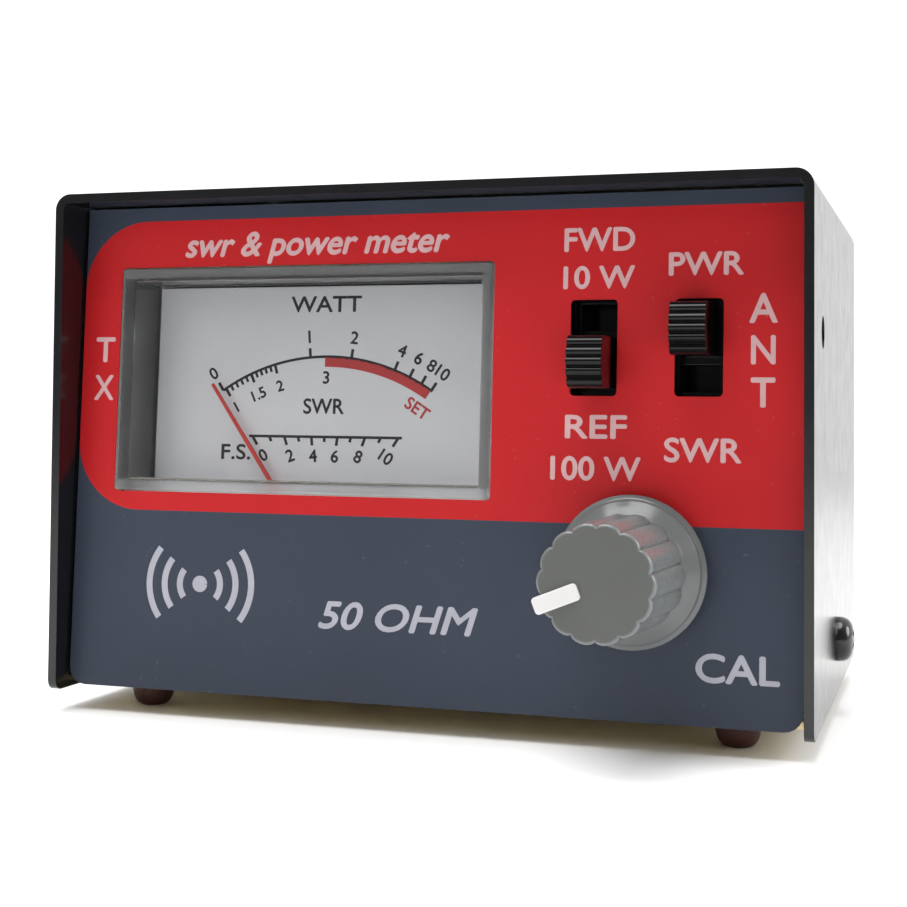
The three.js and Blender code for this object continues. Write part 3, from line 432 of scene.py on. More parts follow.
def object_from(bm, name, material, body, sharp=35):
    """An object in the row frame whose mesh is this one, smooth except at its sharp edges."""
    mesh = bpy.data.meshes.new(name)
    bm.to_mesh(mesh)
    bm.free()
    mesh.polygons.foreach_set("use_smooth", [True] * len(mesh.polygons))
    mesh.set_sharp_from_angle(angle=math.radians(sharp))
    mesh.materials.append(material)
    made = bpy.data.objects.new(name, mesh)
    bpy.context.scene.collection.objects.link(made)
    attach(made, body)
    return made


def stand_for(made, *nodes):
    """Hides the CAD nodes a piece is shown instead of."""
    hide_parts(*nodes)
    return made


def apply_modifiers(made):
    """Keeps what an object's modifiers make of it as its mesh."""
    bpy.context.view_layer.update()
    shown = made.evaluated_get(bpy.context.evaluated_depsgraph_get())
    mesh = bpy.data.meshes.new_from_object(shown)
    made.modifiers.clear()
    made.data = mesh


def round_edges(made, width, segments=3, limit=40):
    bevel = made.modifiers.new("edges", "BEVEL")
    bevel.width = width * MM
    bevel.segments = segments
    bevel.limit_method = "ANGLE"
    bevel.angle_limit = math.radians(limit)
    bevel.harden_normals = True
    apply_modifiers(made)


def carve(made, *cutters):
    """Cuts closed meshes out of an object."""
    for bm in cutters:
        mesh = bpy.data.meshes.new("cutter")
        bmesh.ops.recalc_face_normals(bm, faces=bm.faces)
        bm.to_mesh(mesh)
        bm.free()
        tool = bpy.data.objects.new("cutter", mesh)
        bpy.context.scene.collection.objects.link(tool)
        boolean = made.modifiers.new("cut", "BOOLEAN")
        boolean.operation = "DIFFERENCE"
        boolean.solver = "EXACT"
        boolean.object = tool
        apply_modifiers(made)
        bpy.data.objects.remove(tool)


def cleaned_copy(node):
    """A CAD node's mesh with its shared corners joined and its flat faces whole."""
    bm = bmesh.new()
    bm.from_mesh(frame["nodes"][node].data)
    bmesh.ops.remove_doubles(bm, verts=bm.verts, dist=1e-6)
    bmesh.ops.dissolve_limit(bm, angle_limit=math.radians(1), verts=bm.verts, edges=bm.edges)
    bmesh.ops.recalc_face_normals(bm, faces=bm.faces)
    return bm


def refined(node, name, width, segments=3):
    """A CAD node's shape with rounded edges, shown in its place."""
    made = object_from(cleaned_copy(node), name, MATERIALS[SLOT_OF[node]], BODY_OF[node])
    round_edges(made, width, segments)
    return stand_for(made, node)


def skin(rings, closed_ends=True):
    """A mesh over closed rings of points, one after another."""
    bm = bmesh.new()
    rows = [[bm.verts.new(point) for point in ring] for ring in rings]
    count = len(rows[0])
    for lower, upper in zip(rows, rows[1:]):
        for i in range(count):
            j = (i + 1) % count
            bm.faces.new((lower[i], lower[j], upper[j], upper[i]))
    if closed_ends:
        bm.faces.new(rows[0])
        bm.faces.new(rows[-1])
    bmesh.ops.remove_doubles(bm, verts=bm.verts, dist=1e-7)
    bmesh.ops.recalc_face_normals(bm, faces=bm.faces)
    return bm


def turned(profile, centre, along, segments=48):
    """A turned piece. Its profile is (radius, place along the axis) pairs in metres, from the centre."""
    turn = Vector((0, 0, 1)).rotation_difference(Vector(along)).to_matrix().to_4x4()
    to_row = Matrix.Translation(centre) @ turn
    angles = [math.tau * i / segments for i in range(segments)]
    rings = [
        [to_row @ Vector((radius * math.cos(angle), radius * math.sin(angle), place)) for angle in angles]
        for radius, place in profile
    ]
    return skin(rings)


def arc_points(centre, radius, start, stop, steps):
    """Points on an arc, by angle from the first axis in degrees."""
    angles = [math.radians(start + (stop - start) * i / steps) for i in range(steps + 1)]
    return [(centre[0] + radius * math.cos(angle), centre[1] + radius * math.sin(angle)) for angle in angles]


def flat_sheet(outlines, thickness, edge):
    """A sheet whose first outline is its edge and whose others are holes, lying in x and y."""
    curve = bpy.data.curves.new("sheet", "CURVE")
    curve.dimensions = "2D"
    curve.fill_mode = "BOTH"
    curve.extrude = thickness / 2 - edge
    curve.bevel_depth = edge
    curve.offset = -edge
    for outline in outlines:
        spline = curve.splines.new("POLY")
        spline.points.add(len(outline) - 1)
        for point, (a, b) in zip(spline.points, outline):
            point.co = (a, b, 0, 1)
        spline.use_cyclic_u = True
    return curve_mesh(curve)


def curve_mesh(curve):
    holder = bpy.data.objects.new("curve", curve)
    bpy.context.scene.collection.objects.link(holder)
    bpy.context.view_layer.update()
    mesh = bpy.data.meshes.new_from_object(holder.evaluated_get(bpy.context.evaluated_depsgraph_get()))
    bpy.data.objects.remove(holder)
    bm = bmesh.new()
    bm.from_mesh(mesh)
    bmesh.ops.remove_doubles(bm, verts=bm.verts, dist=1e-9)
    return bm


# ---- The panel's frame ----

LEAN = math.asin(-JOINT["needle_swing"]["axis"][2])
LABEL_THICKNESS = 0.3
label_low, label_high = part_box("front_label")
PANEL = Matrix.Translation((0, label_low.y, label_low.z + LABEL_THICKNESS * MM * math.sin(LEAN)))
PANEL = PANEL @ Matrix.Rotation(-LEAN, 4, "X")
PIVOT = PANEL.inverted() @ Vector(JOINT["needle_swing"]["pos_m"]) / MM
DIAL_FACE = 8.5  # how far the scale plate's face is behind the label's
FILM = 0.02  # how far print stands off what it is printed on
FILM_STEP = 0.05  # how much further off each copy of a thickened letter lies, as a share of that

MATERIALS = make_materials()


# ---- Case ----

SHEET, BEND, LOWER_CORNER = 1.2, 2.2, 1.5
COVER_EDGE = 0.28  # the rounding along the sheet's cut edges
SCREW_HOLE = 1.75
SIDE_HOLE = {"from_front": 12.3, "from_top": 19.1, "radius": 2.1}


def add_cover():
    """The folded cover, with its two bends, side holes and screw holes."""
    low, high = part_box("cover")
    half, foot, top = high.x / MM, low.z / MM, high.z / MM
    outer = arc_points((half - BEND, top - BEND), BEND, 0, 90, 14)
    inner = arc_points((half - BEND, top - BEND), BEND - SHEET, 90, 0, 10)
    right = [(half, foot), *outer]
    left = [(-a, b) for a, b in reversed(right)]
    inner_right = [*inner, (half - SHEET, foot)]
    inner_left = [(-a, b) for a, b in reversed(inner_right)]
    outline = [*right, *left, *inner_left, *inner_right]
    rings = [[Vector((a * MM, y, b * MM)) for a, b in outline] for y in (low.y, high.y)]
    made = object_from(skin(rings), "cover_shell", MATERIALS["black_paint"], "root")
    for side in (-1, 1):
        screw = middle_of("cover_screw_right" if side > 0 else "cover_screw_left")
        hole = (side * half * MM, low.y + SIDE_HOLE["from_front"] * MM, high.z - SIDE_HOLE["from_top"] * MM)
        for place, radius in ((screw, SCREW_HOLE), (hole, SIDE_HOLE["radius"])):
            reach = 3 * SHEET * MM
            tool = [(radius * MM, -reach), (radius * MM, reach)]
            carve(made, turned(tool, (side * half * MM, place[1], place[2]), (1, 0, 0), 40))
    carve(made, *[lower_corner(half, y, way, low.z) for y, way in ((low.y, 1), (high.y, -1))])
    round_edges(made, COVER_EDGE)
    stand_for(made, "cover")


def lower_corner(half, y, way, foot):
    """What rounding both sides' lower corners takes away at one end of the cover."""
    radius, over = LOWER_CORNER * MM, MM
    centre = (y + way * radius, foot + radius)
    arc = arc_points((0, 0), radius, 180, 270, 10)
    outline = [(-over - radius, 0), *arc, (0, -over - radius), (-over - radius, -over - radius)]
    sides = (-(half + 1) * MM, (half + 1) * MM)
    return skin([[Vector((x, centre[0] + way * a, centre[1] + b)) for a, b in outline] for x in sides])


def middle_of(node):
    low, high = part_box(node)
    return (low + high) / 2


# A screw's head. Apart from the seats, in millimetres, its numbers are shares of its radius or height.
SCREW = {"seat": {"black_screw": 2.3, "nickel": 1.7}, "rim": 0.12, "side": 0.8, "crown": 0.75, "shank": 0.48,
         "steps": 12, "edge": 0.06}
RECESS = ((0.25, 0.2, 0.07), (1.3, 0.68, 0.15))  # height, arm and slit of the cross, deep in and at the top


def add_screw(node, name, outward, recess_turn=0.0):
    """A domed screw with a cross recess whose arms narrow as they go in."""
    low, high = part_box(node)
    outward = Vector(outward)
    axis = [abs(each) for each in outward].index(1.0)
    across = [i for i in range(3) if i != axis]
    head = (high[across[0]] - low[across[0]]) / 2
    top = high[axis] if outward[axis] > 0 else low[axis]
    length = high[axis] - low[axis]
    seat = SCREW["seat"][SLOT_OF[node]] * MM
    centre = (low + high) / 2
    centre[axis] = top - outward[axis] * seat
    dome = [(0, seat)]
    for step in range(1, SCREW["steps"] + 1):
        angle = math.pi / 2 * step / SCREW["steps"]
        height = SCREW["rim"] + (1 - SCREW["rim"]) * math.cos(angle) ** SCREW["crown"]
        dome.append((head * math.sin(angle) ** SCREW["side"], seat * height))
    shank = head * SCREW["shank"]
    profile = [*dome, (head, 0), (shank, 0), (shank, seat - length), (0, seat - length)]
    made = object_from(turned(profile, centre, outward), name, MATERIALS[SLOT_OF[node]], BODY_OF[node])
    carve(made, cross_cutter(head, seat, centre, outward, recess_turn))
    round_edges(made, SCREW["edge"], segments=2, limit=50)
    return stand_for(made, node)


def cross_cutter(head, seat, centre, outward, recess_turn):
    turn = Vector((0, 0, 1)).rotation_difference(Vector(outward)).to_matrix().to_4x4()
    to_row = Matrix.Translation(centre) @ turn @ Matrix.Rotation(math.radians(recess_turn), 4, "Z")
    bm = bmesh.new()
    rows = []
    for height, arm, slit in RECESS:
        place, a, s = height * seat, arm * head, slit * head
        outline = [(a, -s), (a, s), (s, s), (s, a), (-s, a), (-s, s), (-a, s), (-a, -s), (-s, -s), (-s, -a),
                   (s, -a), (s, -s)]
        rows.append([bm.verts.new(to_row @ Vector((x, y, place))) for x, y in outline])
    for i in range(len(rows[0])):
        j = (i + 1) % len(rows[0])
        bm.faces.new((rows[0][i], rows[0][j], rows[1][j], rows[1][i]))
    bm.faces.new(rows[0])
    bm.faces.new(rows[1])
    return bm


# A foot's profile, as shares of its radius and height: the dimple and flat below, the dome, the rim.
FOOT_BASE = [(0, 0.12), (0.2, 0.1), (0.3, 0), (0.5, 0)]
FOOT_RIM = [(1, 0.93), (0.97, 1), (0, 1)]
FOOT_DOME = {"flat": 0.5, "height": 0.8, "steps": 12}


def add_foot(node):
    """A moulded rubber foot: domed sides, a flat to stand on and a small dimple."""
    low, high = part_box(node)
    centre = (low + high) / 2
    radius, height = (high.x - low.x) / 2, high.z - low.z
    flat, dome, steps = FOOT_DOME["flat"], FOOT_DOME["height"], FOOT_DOME["steps"]
    shares = list(FOOT_BASE)
    for step in range(1, steps + 1):
        angle = math.pi / 2 * step / steps
        shares.append((flat + (1 - flat) * math.sin(angle), dome * (1 - math.cos(angle))))
    profile = [(across * radius, up * height) for across, up in shares + FOOT_RIM]
    shape = turned(profile, Vector((centre.x, centre.y, low.z)), (0, 0, 1))
    made = object_from(shape, f"{node}_rubber", MATERIALS["rubber_foot"], "root", sharp=50)
    stand_for(made, node)


def add_case():
    add_cover()
    refined("chassis", "chassis_folded", width=0.18, segments=2)
    refined("front_label", "label_sheet", width=0.06, segments=2)
    add_screw("cover_screw_left", "cover_screw_left_head", (-1, 0, 0), recess_turn=20)
    add_screw("cover_screw_right", "cover_screw_right_head", (1, 0, 0), recess_turn=38)
    for node in (f"foot_{end}_{side}" for end in ("front", "rear") for side in ("left", "right")):
        add_foot(node)


# ---- Print: letters, arcs and ticks in the panel's frame ----


class Print:
    """Flat print of one colour, drawn in the panel's frame and made into one piece."""

    def __init__(self, name, colour, behind):
        self.name, self.colour, self.behind = name, colour, behind
        self.bm = bmesh.new()

    def add_flat(self, drawing, place):
        """Adds a flat mesh drawn in x and y, after moving it by a flat transform."""
        layer = Matrix.Translation((0, self.behind, 0)) @ UPRIGHT @ place
        start = len(self.bm.verts)
        mesh = bpy.data.meshes.new("print")
        drawing.to_mesh(mesh)
        drawing.free()
        self.bm.from_mesh(mesh)
        self.bm.verts.ensure_lookup_table()
        for vert in self.bm.verts[start:]:
            vert.co = layer @ vert.co

    def text(self, words, centre, height, width=None, turn=0.0, weight=0.0, slant=0.0):
        """A line of text round its centre, stretched to a height and width, and thickened by weight."""
        nudges = [(0, 0)] if weight == 0 else [(-weight, 0), (weight, 0), (0, -weight), (0, weight)]
        for layer, (right, up) in enumerate(nudges):
            drawing = text_drawing(words, height - 2 * weight, width and width - 2 * weight, slant)
            place = Matrix.Translation((centre[0] + right, centre[1] + up, FILM * (1 + FILM_STEP * layer)))
            self.add_flat(drawing, place @ Matrix.Rotation(math.radians(turn), 4, "Z"))

    def stroke(self, points, width):
        """A line of even width through points."""
        bm = bmesh.new()
        rows = []
        for i, point in enumerate(points):
            before, after = Vector(points[max(i - 1, 0)]), Vector(points[min(i + 1, len(points) - 1)])
            side = (after - before).normalized().orthogonal() * width / 2
            rows.append([bm.verts.new((*(Vector(point) + way * side), 0)) for way in (1, -1)])
        for (a, b), (c, d) in zip(rows, rows[1:]):
            bm.faces.new((a, b, d, c))
        self.add_flat(bm, Matrix.Translation((0, 0, FILM)))

    def make(self):
        self.bm.transform(PANEL @ TO_METRES)
        for face in self.bm.faces:
            face.normal_update()
            if face.normal.y > 0:
                face.normal_flip()
        return object_from(self.bm, self.name, ink(self.name, self.colour), "root")


def text_drawing(words, height, width, slant):
    """Text in x and y round its own middle. Without a width it keeps its proportions."""
    curve = bpy.data.curves.new("text", "FONT")
    curve.body = words
    curve.shear = slant
    curve.resolution_u = 5
    bm = curve_mesh(curve)
    places = [vert.co for vert in bm.verts]
    low = Vector((min(p.x for p in places), min(p.y for p in places), 0))
    high = Vector((max(p.x for p in places), max(p.y for p in places), 0))
    size = high - low
    up = height / size.y
    across = width / size.x if width else up
    bm.transform(Matrix.Diagonal((across, up, 1, 1)) @ Matrix.Translation(-(low + high) / 2))
    return bm


def polar(angle, radius):
    """A place round the needle's pivot, by degrees from straight up."""
    turn = math.radians(angle)
    return (PIVOT.x + radius * math.sin(turn), PIVOT.z + radius * math.cos(turn))


# Legends beside the two switches and the knob: words, middle across, baseline, height and width.
LEGENDS_ON_RED = [
    ("FWD", 24.0, 58.6, 3.1, 9.2), ("10 W", 24.0, 53.8, 3.0, 9.3), ("PWR", 37.6, 55.3, 3.0, 9.4),
    ("REF", 23.9, 34.8, 3.0, 8.0), ("100 W", 23.9, 29.5, 3.1, 11.6), ("SWR", 37.4, 32.0, 3.1, 9.6),
    ("T", -46.3, 44.5, 3.5, 3.0), ("X", -46.3, 39.2, 3.5, 3.1),
    ("A", 44.7, 49.3, 3.7, 3.5), ("N", 44.7, 44.2, 3.6, 3.0), ("T", 44.7, 38.9, 3.7, 3.0),
]
LEGEND_WEIGHT = 0.1
TITLE = {"words": "swr & power meter", "left": -34.5, "right": 4.0, "low": 57.9, "high": 62.4, "weight": 0.13,
         "slant": 0.25}
CAL = {"words": "CAL", "left": 36.8, "right": 47.0, "low": 5.3, "high": 8.9, "weight": 0.12, "slant": 0.0}
RATING = {"words": "50 OHM", "left": -13.0, "right": 9.0, "low": 9.3, "high": 13.0, "weight": 0.12,
          "slant": 0.25}
RADIO_SIGN = {"x": -30.4, "z": 14.4, "dot": 1.1, "first": 3.0, "step": 2.3, "arcs": 3, "half_angle": 38,
              "line": 0.9}


def boxed_text(layer, box):
    centre = ((box["left"] + box["right"]) / 2, (box["low"] + box["high"]) / 2)
    size = (box["high"] - box["low"], box["right"] - box["left"])
    layer.text(box["words"], centre, *size, weight=box["weight"], slant=box["slant"])


def add_label_print():
    light = Print("label_print_light", (0.62, 0.38, 0.39), 0)
    for words, x, base, height, width in LEGENDS_ON_RED:
        light.text(words, (x, base + height / 2), height, width, weight=LEGEND_WEIGHT)
    boxed_text(light, TITLE)
    light.make()
    dim = Print("label_print_dim", (0.4, 0.4, 0.46), 0)
    boxed_text(dim, CAL)
    boxed_text(dim, RATING)
    add_radio_sign(dim)
    dim.make()


def add_radio_sign(layer):
    """A plain sign for radio waves: a dot between arcs."""
    centre = (RADIO_SIGN["x"], RADIO_SIGN["z"])
    half = RADIO_SIGN["dot"] / 2
    layer.stroke(arc_points(centre, half, 0, 360, 32), 2 * half)
    for side in (0, 180):
        for i in range(RADIO_SIGN["arcs"]):
            radius = RADIO_SIGN["first"] + i * RADIO_SIGN["step"]
            half = RADIO_SIGN["half_angle"]
            layer.stroke(arc_points(centre, radius, side - half, side + half, 24), RADIO_SIGN["line"])


# ---- Meter ----

ARC_RADIUS, ARC_HALF = 27.9, 34  # the arc's radius, and how many degrees it reaches to each side
WATT_ANGLES = {"0": -34.0, "1": -5.0, "2": 7.6, "4": 21.2, "6": 26.1, "8": 30.1, "10": 33.6}
SWR_ANGLES = {"1": -33.0, "1.5": -24.1, "2": -16.2}
SWR_PARTS = 5  # fine divisions from one figure to the next
LINE_HEIGHT = 34.75
LINE_PITCH = 6.6  # degrees from one tick of the straight scale to the next
SCALE_WEIGHT = 0.06
SCALE_LINE = {"arc": 0.38, "tick": 0.42, "fine": 0.38}
TICK = {"long": 1.3, "fine": 0.85, "even": 1.2, "odd": 0.7}
LINE_HALF = 11.4
FIGURE = {"outer": 30.8, "inner": 24.8, "middle": 25.0, "height": 1.8, "small": 1.6, "straight": 32.1}
RED_BAND = {"half_degrees": (-1, 68), "inside": 0.75, "wide": 1.35}
SET_ANGLE = 33
SCALE_WORDS = [("WATT", (-16.5, 53.25), 2.3, 10.6), ("SWR", (-16.45, 39.0), 2.2, 6.1),
               ("F.S.", (-29.55, 32.5), 2.2, 4.5)]


def figure(layer, words, angle, radius, height):
    layer.text(words, polar(angle, radius), height, turn=-angle, weight=SCALE_WEIGHT)


def tick(layer, angle, outwards, line):
    layer.stroke([polar(angle, ARC_RADIUS), polar(angle, ARC_RADIUS + outwards)], SCALE_LINE[line])


def add_scale():
    """The printed scales: watts outside the arc, SWR inside it, and a straight one below."""
    black = Print("scale_print_black", (0.008, 0.008, 0.01), DIAL_FACE)
    black.stroke([polar(angle, ARC_RADIUS) for angle in range(-ARC_HALF, ARC_HALF + 1)], SCALE_LINE["arc"])
    for words, angle in WATT_ANGLES.items():
        tick(black, angle, TICK["long"], "tick")
        figure(black, words, angle, FIGURE["outer"], FIGURE["height"])
    marks = list(SWR_ANGLES.values())
    for words, angle in SWR_ANGLES.items():
        tick(black, angle, -TICK["long"], "tick")
        figure(black, words, angle, FIGURE["inner"], FIGURE["small"])
    for start, stop in zip(marks, marks[1:]):
        for part in range(1, SWR_PARTS):
            angle = start + (stop - start) * part / SWR_PARTS
            tick(black, angle, -TICK["fine"], "fine")
    figure(black, "3", 0, FIGURE["middle"], FIGURE["height"])
    add_straight_scale(black)
    for words, centre, height, width in SCALE_WORDS:
        black.text(words, centre, height, width, weight=SCALE_WEIGHT)
    black.make()
    red = Print("scale_print_red", (0.55, 0.03, 0.03), DIAL_FACE)
    middle = ARC_RADIUS - RED_BAND["inside"]
    red.stroke([polar(each / 2, middle) for each in range(*RED_BAND["half_degrees"])], RED_BAND["wide"])
    figure(red, "SET", SET_ANGLE, FIGURE["inner"], FIGURE["height"])
    red.make()


def add_straight_scale(layer):
    """A straight line whose ticks and figures point at the pivot."""

    def along(angle, height):
        return (PIVOT.x + math.tan(math.radians(angle)) * (height - PIVOT.z), height)

    layer.stroke([(PIVOT.x + end, LINE_HEIGHT) for end in (-LINE_HALF, LINE_HALF)], SCALE_LINE["arc"])
    for value in range(11):
        angle = (value - 5) * LINE_PITCH
        length = TICK["even"] if value % 2 == 0 else TICK["odd"]
        layer.stroke([along(angle, LINE_HEIGHT), along(angle, LINE_HEIGHT - length)], SCALE_LINE["tick"])
        if value % 2 == 0:
            place = along(angle, FIGURE["straight"])
            layer.text(str(value), place, FIGURE["height"], turn=-angle, weight=SCALE_WEIGHT)


def add_meter():
    refined("meter_lens", "lens_window", width=0.35)
    refined("scale_plate", "scale_plate_sheet", width=0.1, segments=2)
    refined("needle", "needle_pointer", width=0.06, segments=2)
    refined("meter_case", "meter_case_box", width=0.4)
    add_scale()


# ---- Knob and levers ----

KNOB = {"rear": 2.2, "front": -17.9, "lobes": 14, "valley": 0.5, "sharpness": 0.55, "front_radius": 6.85,
        "rear_radius": 7.3, "lobe_end": 2.3, "round": 1.0, "bore": 3.3, "bore_depth": 14.9, "samples": 18,
        "steps": 28, "even_from": 5, "face_skin": 0.05}
# The skirt's radius, and how far from the knob's rear it has it.
KNOB_SKIRT = [(6.3, 4.2), (6.5, 3.4), (6.9, 2.9), (7.5, 2.4), (8.1, 1.9), (8.6, 1.45), (8.85, 1.25),
              (8.9, 1.0), (9.0, 0.9), (9.4, 0.85), (9.5, 0.72), (9.5, 0.1), (9.4, 0.0)]
KNOB_CHAMFER = 0.35
KNOB_EDGE = [(0, 1.5), (0, 1), (0.3, 0.4), (1, 0)]  # down from the face and in from the lobes, in chamfers
POINTER = {"width": 2.0, "from": 2.0, "to": 7.5, "raise": 0.4, "sunk": 0.5, "angle": 112, "corner": 0.45,
           "edge": 0.16}

# The knob's own frame: y along its axis into the case, starting level with the cover's front edge.
knob_turn = JOINT["knob_turn"]
KNOB_FRAME = Matrix.Translation(knob_turn["pos_m"])
KNOB_FRAME = KNOB_FRAME @ Matrix.Rotation(math.asin(knob_turn["axis"][2]), 4, "X") @ TO_METRES


def skirt_radius(from_rear):
    """The bell-shaped skirt's radius at a distance from the knob's rear."""
    if from_rear >= KNOB_SKIRT[0][1]:
        return KNOB_SKIRT[0][0]
    for (wide, far), (wider, near) in zip(KNOB_SKIRT, KNOB_SKIRT[1:]):
        if from_rear >= near:
            return wide + (wider - wide) * (far - from_rear) / (far - near)
    return KNOB_SKIRT[-1][0]


def lobed_radius(angle, from_rear, length):
    """The lobed body's radius: flat lobes with narrow grooves, rounded where they meet the skirt."""
    share = (length - from_rear) / length
    radius = KNOB["front_radius"] + (KNOB["rear_radius"] - KNOB["front_radius"]) * share
    lobe = abs(math.cos(KNOB["lobes"] / 2 * angle)) ** KNOB["sharpness"]
    into_end = (KNOB["lobe_end"] + KNOB["round"] - from_rear) / KNOB["round"]
    if into_end > 0:
        radius -= KNOB["round"] * (1 - math.sqrt(max(0.0, 1 - min(into_end, 1) ** 2)))
    return radius - KNOB["valley"] * (1 - lobe)


def add_knob():
    """The knob: a lobed body on a bell-shaped skirt, with a bore at the rear."""
    length = KNOB["rear"] - KNOB["front"]
    count = KNOB["lobes"] * KNOB["samples"]
    angles = [math.tau * i / count for i in range(count)]

    def ring(radius_at, from_rear):
        radii = [radius_at(angle) for angle in angles]
        return [Vector((radius * math.cos(a), KNOB["rear"] - from_rear, radius * math.sin(a)))
                for radius, a in zip(radii, angles)]

    def plain(radius, from_rear):
        return ring(lambda angle: radius, from_rear)

    def body(from_rear, less=0.0):
        core = skirt_radius(from_rear)
        return ring(lambda a: max(lobed_radius(a, from_rear, length), core) - less, from_rear)

    chamfer, steps = KNOB_CHAMFER, KNOB["steps"]
    rings = [plain(0.0, length)]
    rings += [body(length - down * chamfer, inward * chamfer) for down, inward in KNOB_EDGE]
    even = length - KNOB["even_from"]
    rings += [body(length - chamfer - step * even / steps) for step in range(1, steps)]
    start = KNOB_SKIRT[0][1]
    rings += [body(start * (1 - i / steps)) for i in range(steps)]
    bore, deep = KNOB["bore"], KNOB["bore_depth"]
    rings += [plain(KNOB_SKIRT[-1][0], 0.0), plain(bore, 0.0), plain(bore, deep), plain(0.0, deep)]
    shape = skin(rings, False)
    on_face = [face.calc_center_median().y < KNOB["front"] + KNOB["face_skin"] for face in shape.faces]
    shape.transform(KNOB_FRAME)
    made = object_from(shape, "knob_body", MATERIALS["knob_grey"], "knob", sharp=60)
    made.data.materials.append(MATERIALS["knob_face"])
    made.data.polygons.foreach_set("material_index", [int(each) for each in on_face])
    stand_for(made, "knob")
    add_pointer()


def add_pointer():
    """The white bar on the knob's face."""
    half, corner = POINTER["width"] / 2, POINTER["corner"]
    outline = []
    for x, z, start in ((half, POINTER["to"], 0), (-half, POINTER["to"], 90), (-half, POINTER["from"], 180),
                        (half, POINTER["from"], 270)):
        inward = (x - math.copysign(corner, x), z + (corner if z == POINTER["from"] else -corner))
        outline += arc_points(inward, corner, start, start + 90, 6)
    to_row = KNOB_FRAME @ Matrix.Translation((0, KNOB["front"], 0))
    to_row = to_row @ Matrix.Rotation(math.radians(-POINTER["angle"]), 4, "Y")
    places = (POINTER["sunk"], -POINTER["raise"])
    rings = [[to_row @ Vector((x, place, z)) for x, z in outline] for place in places]
    made = object_from(skin(rings), "knob_pointer_bar", MATERIALS["white_plastic"], "knob")
    round_edges(made, POINTER["edge"])
    stand_for(made, "knob_pointer")


LEVER = {"width": 4.5, "height": 6.5, "ridges": 5, "crown": 1.1, "groove": 0.5, "full": 0.8, "samples": 14,
         "overlap": 0.4, "edge": 0.22, "slider_depth": 2.2, "slider_edge": 0.2}


def add_lever(name):
    """A slide switch's lever: a crowned end with rounded ridges across it."""
    node = f"{name}_switch_lever"
    low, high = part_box(node)
    middle = (low + high) / 2
    slider_depth = LEVER["slider_depth"] * MM
    half = LEVER["height"] / 2
    steps = LEVER["ridges"] * LEVER["samples"]
    outline = []
    for i in range(steps + 1):
        place = 2 * i / steps - 1
        ridge = abs(math.sin(math.pi * LEVER["ridges"] * i / steps)) ** LEVER["full"]
        front = LEVER["crown"] * place * place + LEVER["groove"] * (1 - ridge)
        outline.append((low.y + front * MM, middle.z + half * place * MM))
    back = high.y - slider_depth + LEVER["overlap"] * MM
    outline += [(back, middle.z + half * MM), (back, middle.z - half * MM)]
    sides = (middle.x - LEVER["width"] / 2 * MM, middle.x + LEVER["width"] / 2 * MM)
    rings = [[Vector((x, y, z)) for y, z in outline] for x in sides]
    made = object_from(skin(rings), f"{node}_grip", MATERIALS["black_plastic"], BODY_OF[node])
    round_edges(made, LEVER["edge"], limit=60)
    stand_for(made, node)
    slider = block_mesh(Vector((low.x, high.y - slider_depth, low.z)), high)
    made = object_from(slider, f"{node}_slider", MATERIALS["black_plastic"], BODY_OF[node])
    round_edges(made, LEVER["slider_edge"])


def block_mesh(low, high):
    bm = bmesh.new()
    bmesh.ops.create_cube(bm, size=1.0)
    bm.transform(Matrix.Translation((low + high) / 2) @ Matrix.Diagonal((*(high - low), 1)))
    return bm


def add_controls():
    add_knob()
    for name in ("range", "function"):
        add_lever(name)
        refined(f"{name}_switch_housing", f"{name}_switch_housing_shell", width=0.15, segments=2)
    for node in ("pot_body", "pot_bushing", "control_board"):
        refined(node, f"{node}_detail", width=0.12, segments=2)


# ---- Sockets ----

SOCKET = {"plate": 1.6, "corner": 2.0, "edge": 0.12, "hole": 1.65, "hole_offset": 9.0, "screw_turn": 25}
BARREL = {"radius": 7.9, "bore": 6.4, "chamfer": 0.5, "bore_chamfer": 0.2, "segments": 48}
THREAD = {"pitch": 1.06, "depth": 0.5, "runout": 1.2, "steps": 8}


def rounded_square(half, corner):
    inner = half - corner
    outline = []
    for x, y, start in ((1, 1, 0), (-1, 1, 90), (-1, -1, 180), (1, -1, 270)):
        outline += arc_points((x * inner, y * inner), corner, start, start + 90, 8)
    return outline


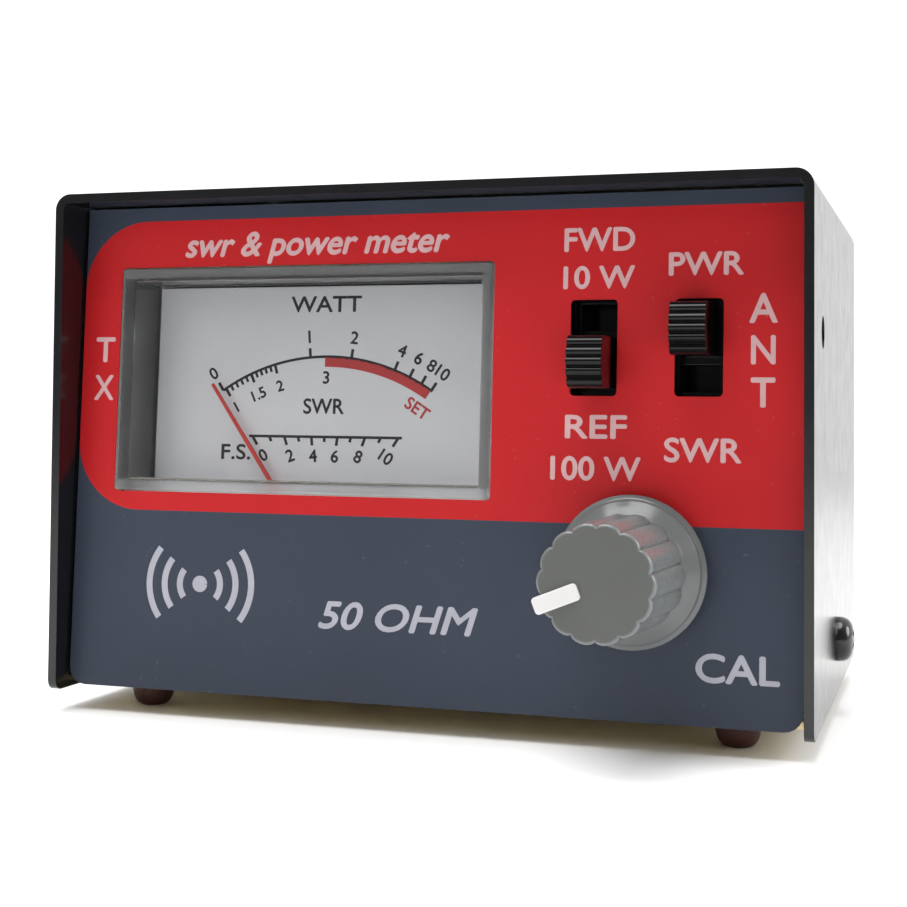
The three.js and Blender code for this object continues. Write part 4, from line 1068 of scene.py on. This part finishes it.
def add_socket(name):
    """A coaxial socket: its flange, threaded barrel, insulator, contact and two screws."""

    def hole(x, z, radius):
        return arc_points((x * MM, z * MM), radius * MM, 360, 10, 35)

    node = f"{name}_socket_shell"
    low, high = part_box(node)
    centre = (low + high) / 2
    half = (high.x - low.x) / 2
    offset = SOCKET["hole_offset"]
    holes = [hole(x, z, SOCKET["hole"]) for x in (-offset, offset) for z in (-offset, offset)]
    outlines = [rounded_square(half, SOCKET["corner"] * MM), hole(0, 0, BARREL["bore"]), *holes]
    plate = flat_sheet(outlines, SOCKET["plate"] * MM, SOCKET["edge"] * MM)
    face = low.y + SOCKET["plate"] / 2 * MM
    plate.transform(Matrix.Translation((centre.x, face, centre.z)) @ UPRIGHT)
    made = object_from(plate, f"{name}_socket_flange", MATERIALS["nickel"], "root")
    stand_for(made, node)
    tube = threaded_barrel(Vector((centre.x, 0, centre.z)), low.y + SOCKET["plate"] * MM, high.y)
    barrel = object_from(tube, f"{name}_socket_barrel", MATERIALS["nickel"], "root", sharp=50)
    stand_for(barrel, node)
    refined(f"{name}_socket_insulator", f"{name}_socket_insulator_turned", width=0.15, segments=2)
    refined(f"{name}_socket_contact", f"{name}_socket_contact_turned", width=0.12, segments=2)
    for i in (1, 2):
        screw = f"{name}_socket_screw_{i}"
        add_screw(screw, f"{screw}_head", (0, 1, 0), SOCKET["screw_turn"] * i)


def ring_round(centre, y, radii):
    """A ring round a line along y, with a radius in millimetres for each of its points."""
    points = []
    for i, radius in enumerate(radii):
        angle = math.tau * (i / len(radii))
        points.append(centre + Vector((radius * MM * math.cos(angle), y, radius * MM * math.sin(angle))))
    return points


def threaded_barrel(centre, start, stop):
    """A tube with a screw thread outside that runs out at both ends."""
    segments, bore, less = BARREL["segments"], BARREL["bore"], BARREL["bore_chamfer"]
    steps = int((stop - start) / (THREAD["pitch"] * MM) * THREAD["steps"])
    rings = []
    for step in range(steps + 1):
        y = start + (stop - start) * step / steps
        ends = min(y - start, stop - y) / MM
        depth = THREAD["depth"] * min(1.0, ends / THREAD["runout"])
        outside = BARREL["radius"] - max(0.0, BARREL["chamfer"] - (stop - y) / MM)
        turns = [((y - start) / MM / THREAD["pitch"] - i / segments) % 1.0 for i in range(segments)]
        rings.append(ring_round(centre, y, [outside - depth * abs(2 * turn - 1) for turn in turns]))
    for y, radius in ((stop, bore + less), (stop - less * MM, bore), (start, bore)):
        rings.append(ring_round(centre, y, [radius] * segments))
    return skin([*rings, rings[0]], False)


# ---- Build ----


def paint_cad_nodes():
    """Gives every CAD node the material of its slot."""
    for name, node in frame["nodes"].items():
        node.data.materials.clear()
        node.data.materials.append(MATERIALS[SLOT_OF[name]])


add_camera()
add_world()
add_light("top", **TOP_LIGHT)
add_light("key", **KEY_LIGHT)
add_light("fill", **FILL_LIGHT)
add_floor()
bpy.context.scene.view_settings.view_transform = "Standard"
paint_cad_nodes()
add_case()
add_label_print()
add_meter()
add_controls()
for socket in ("tx", "ant"):
    add_socket(socket)
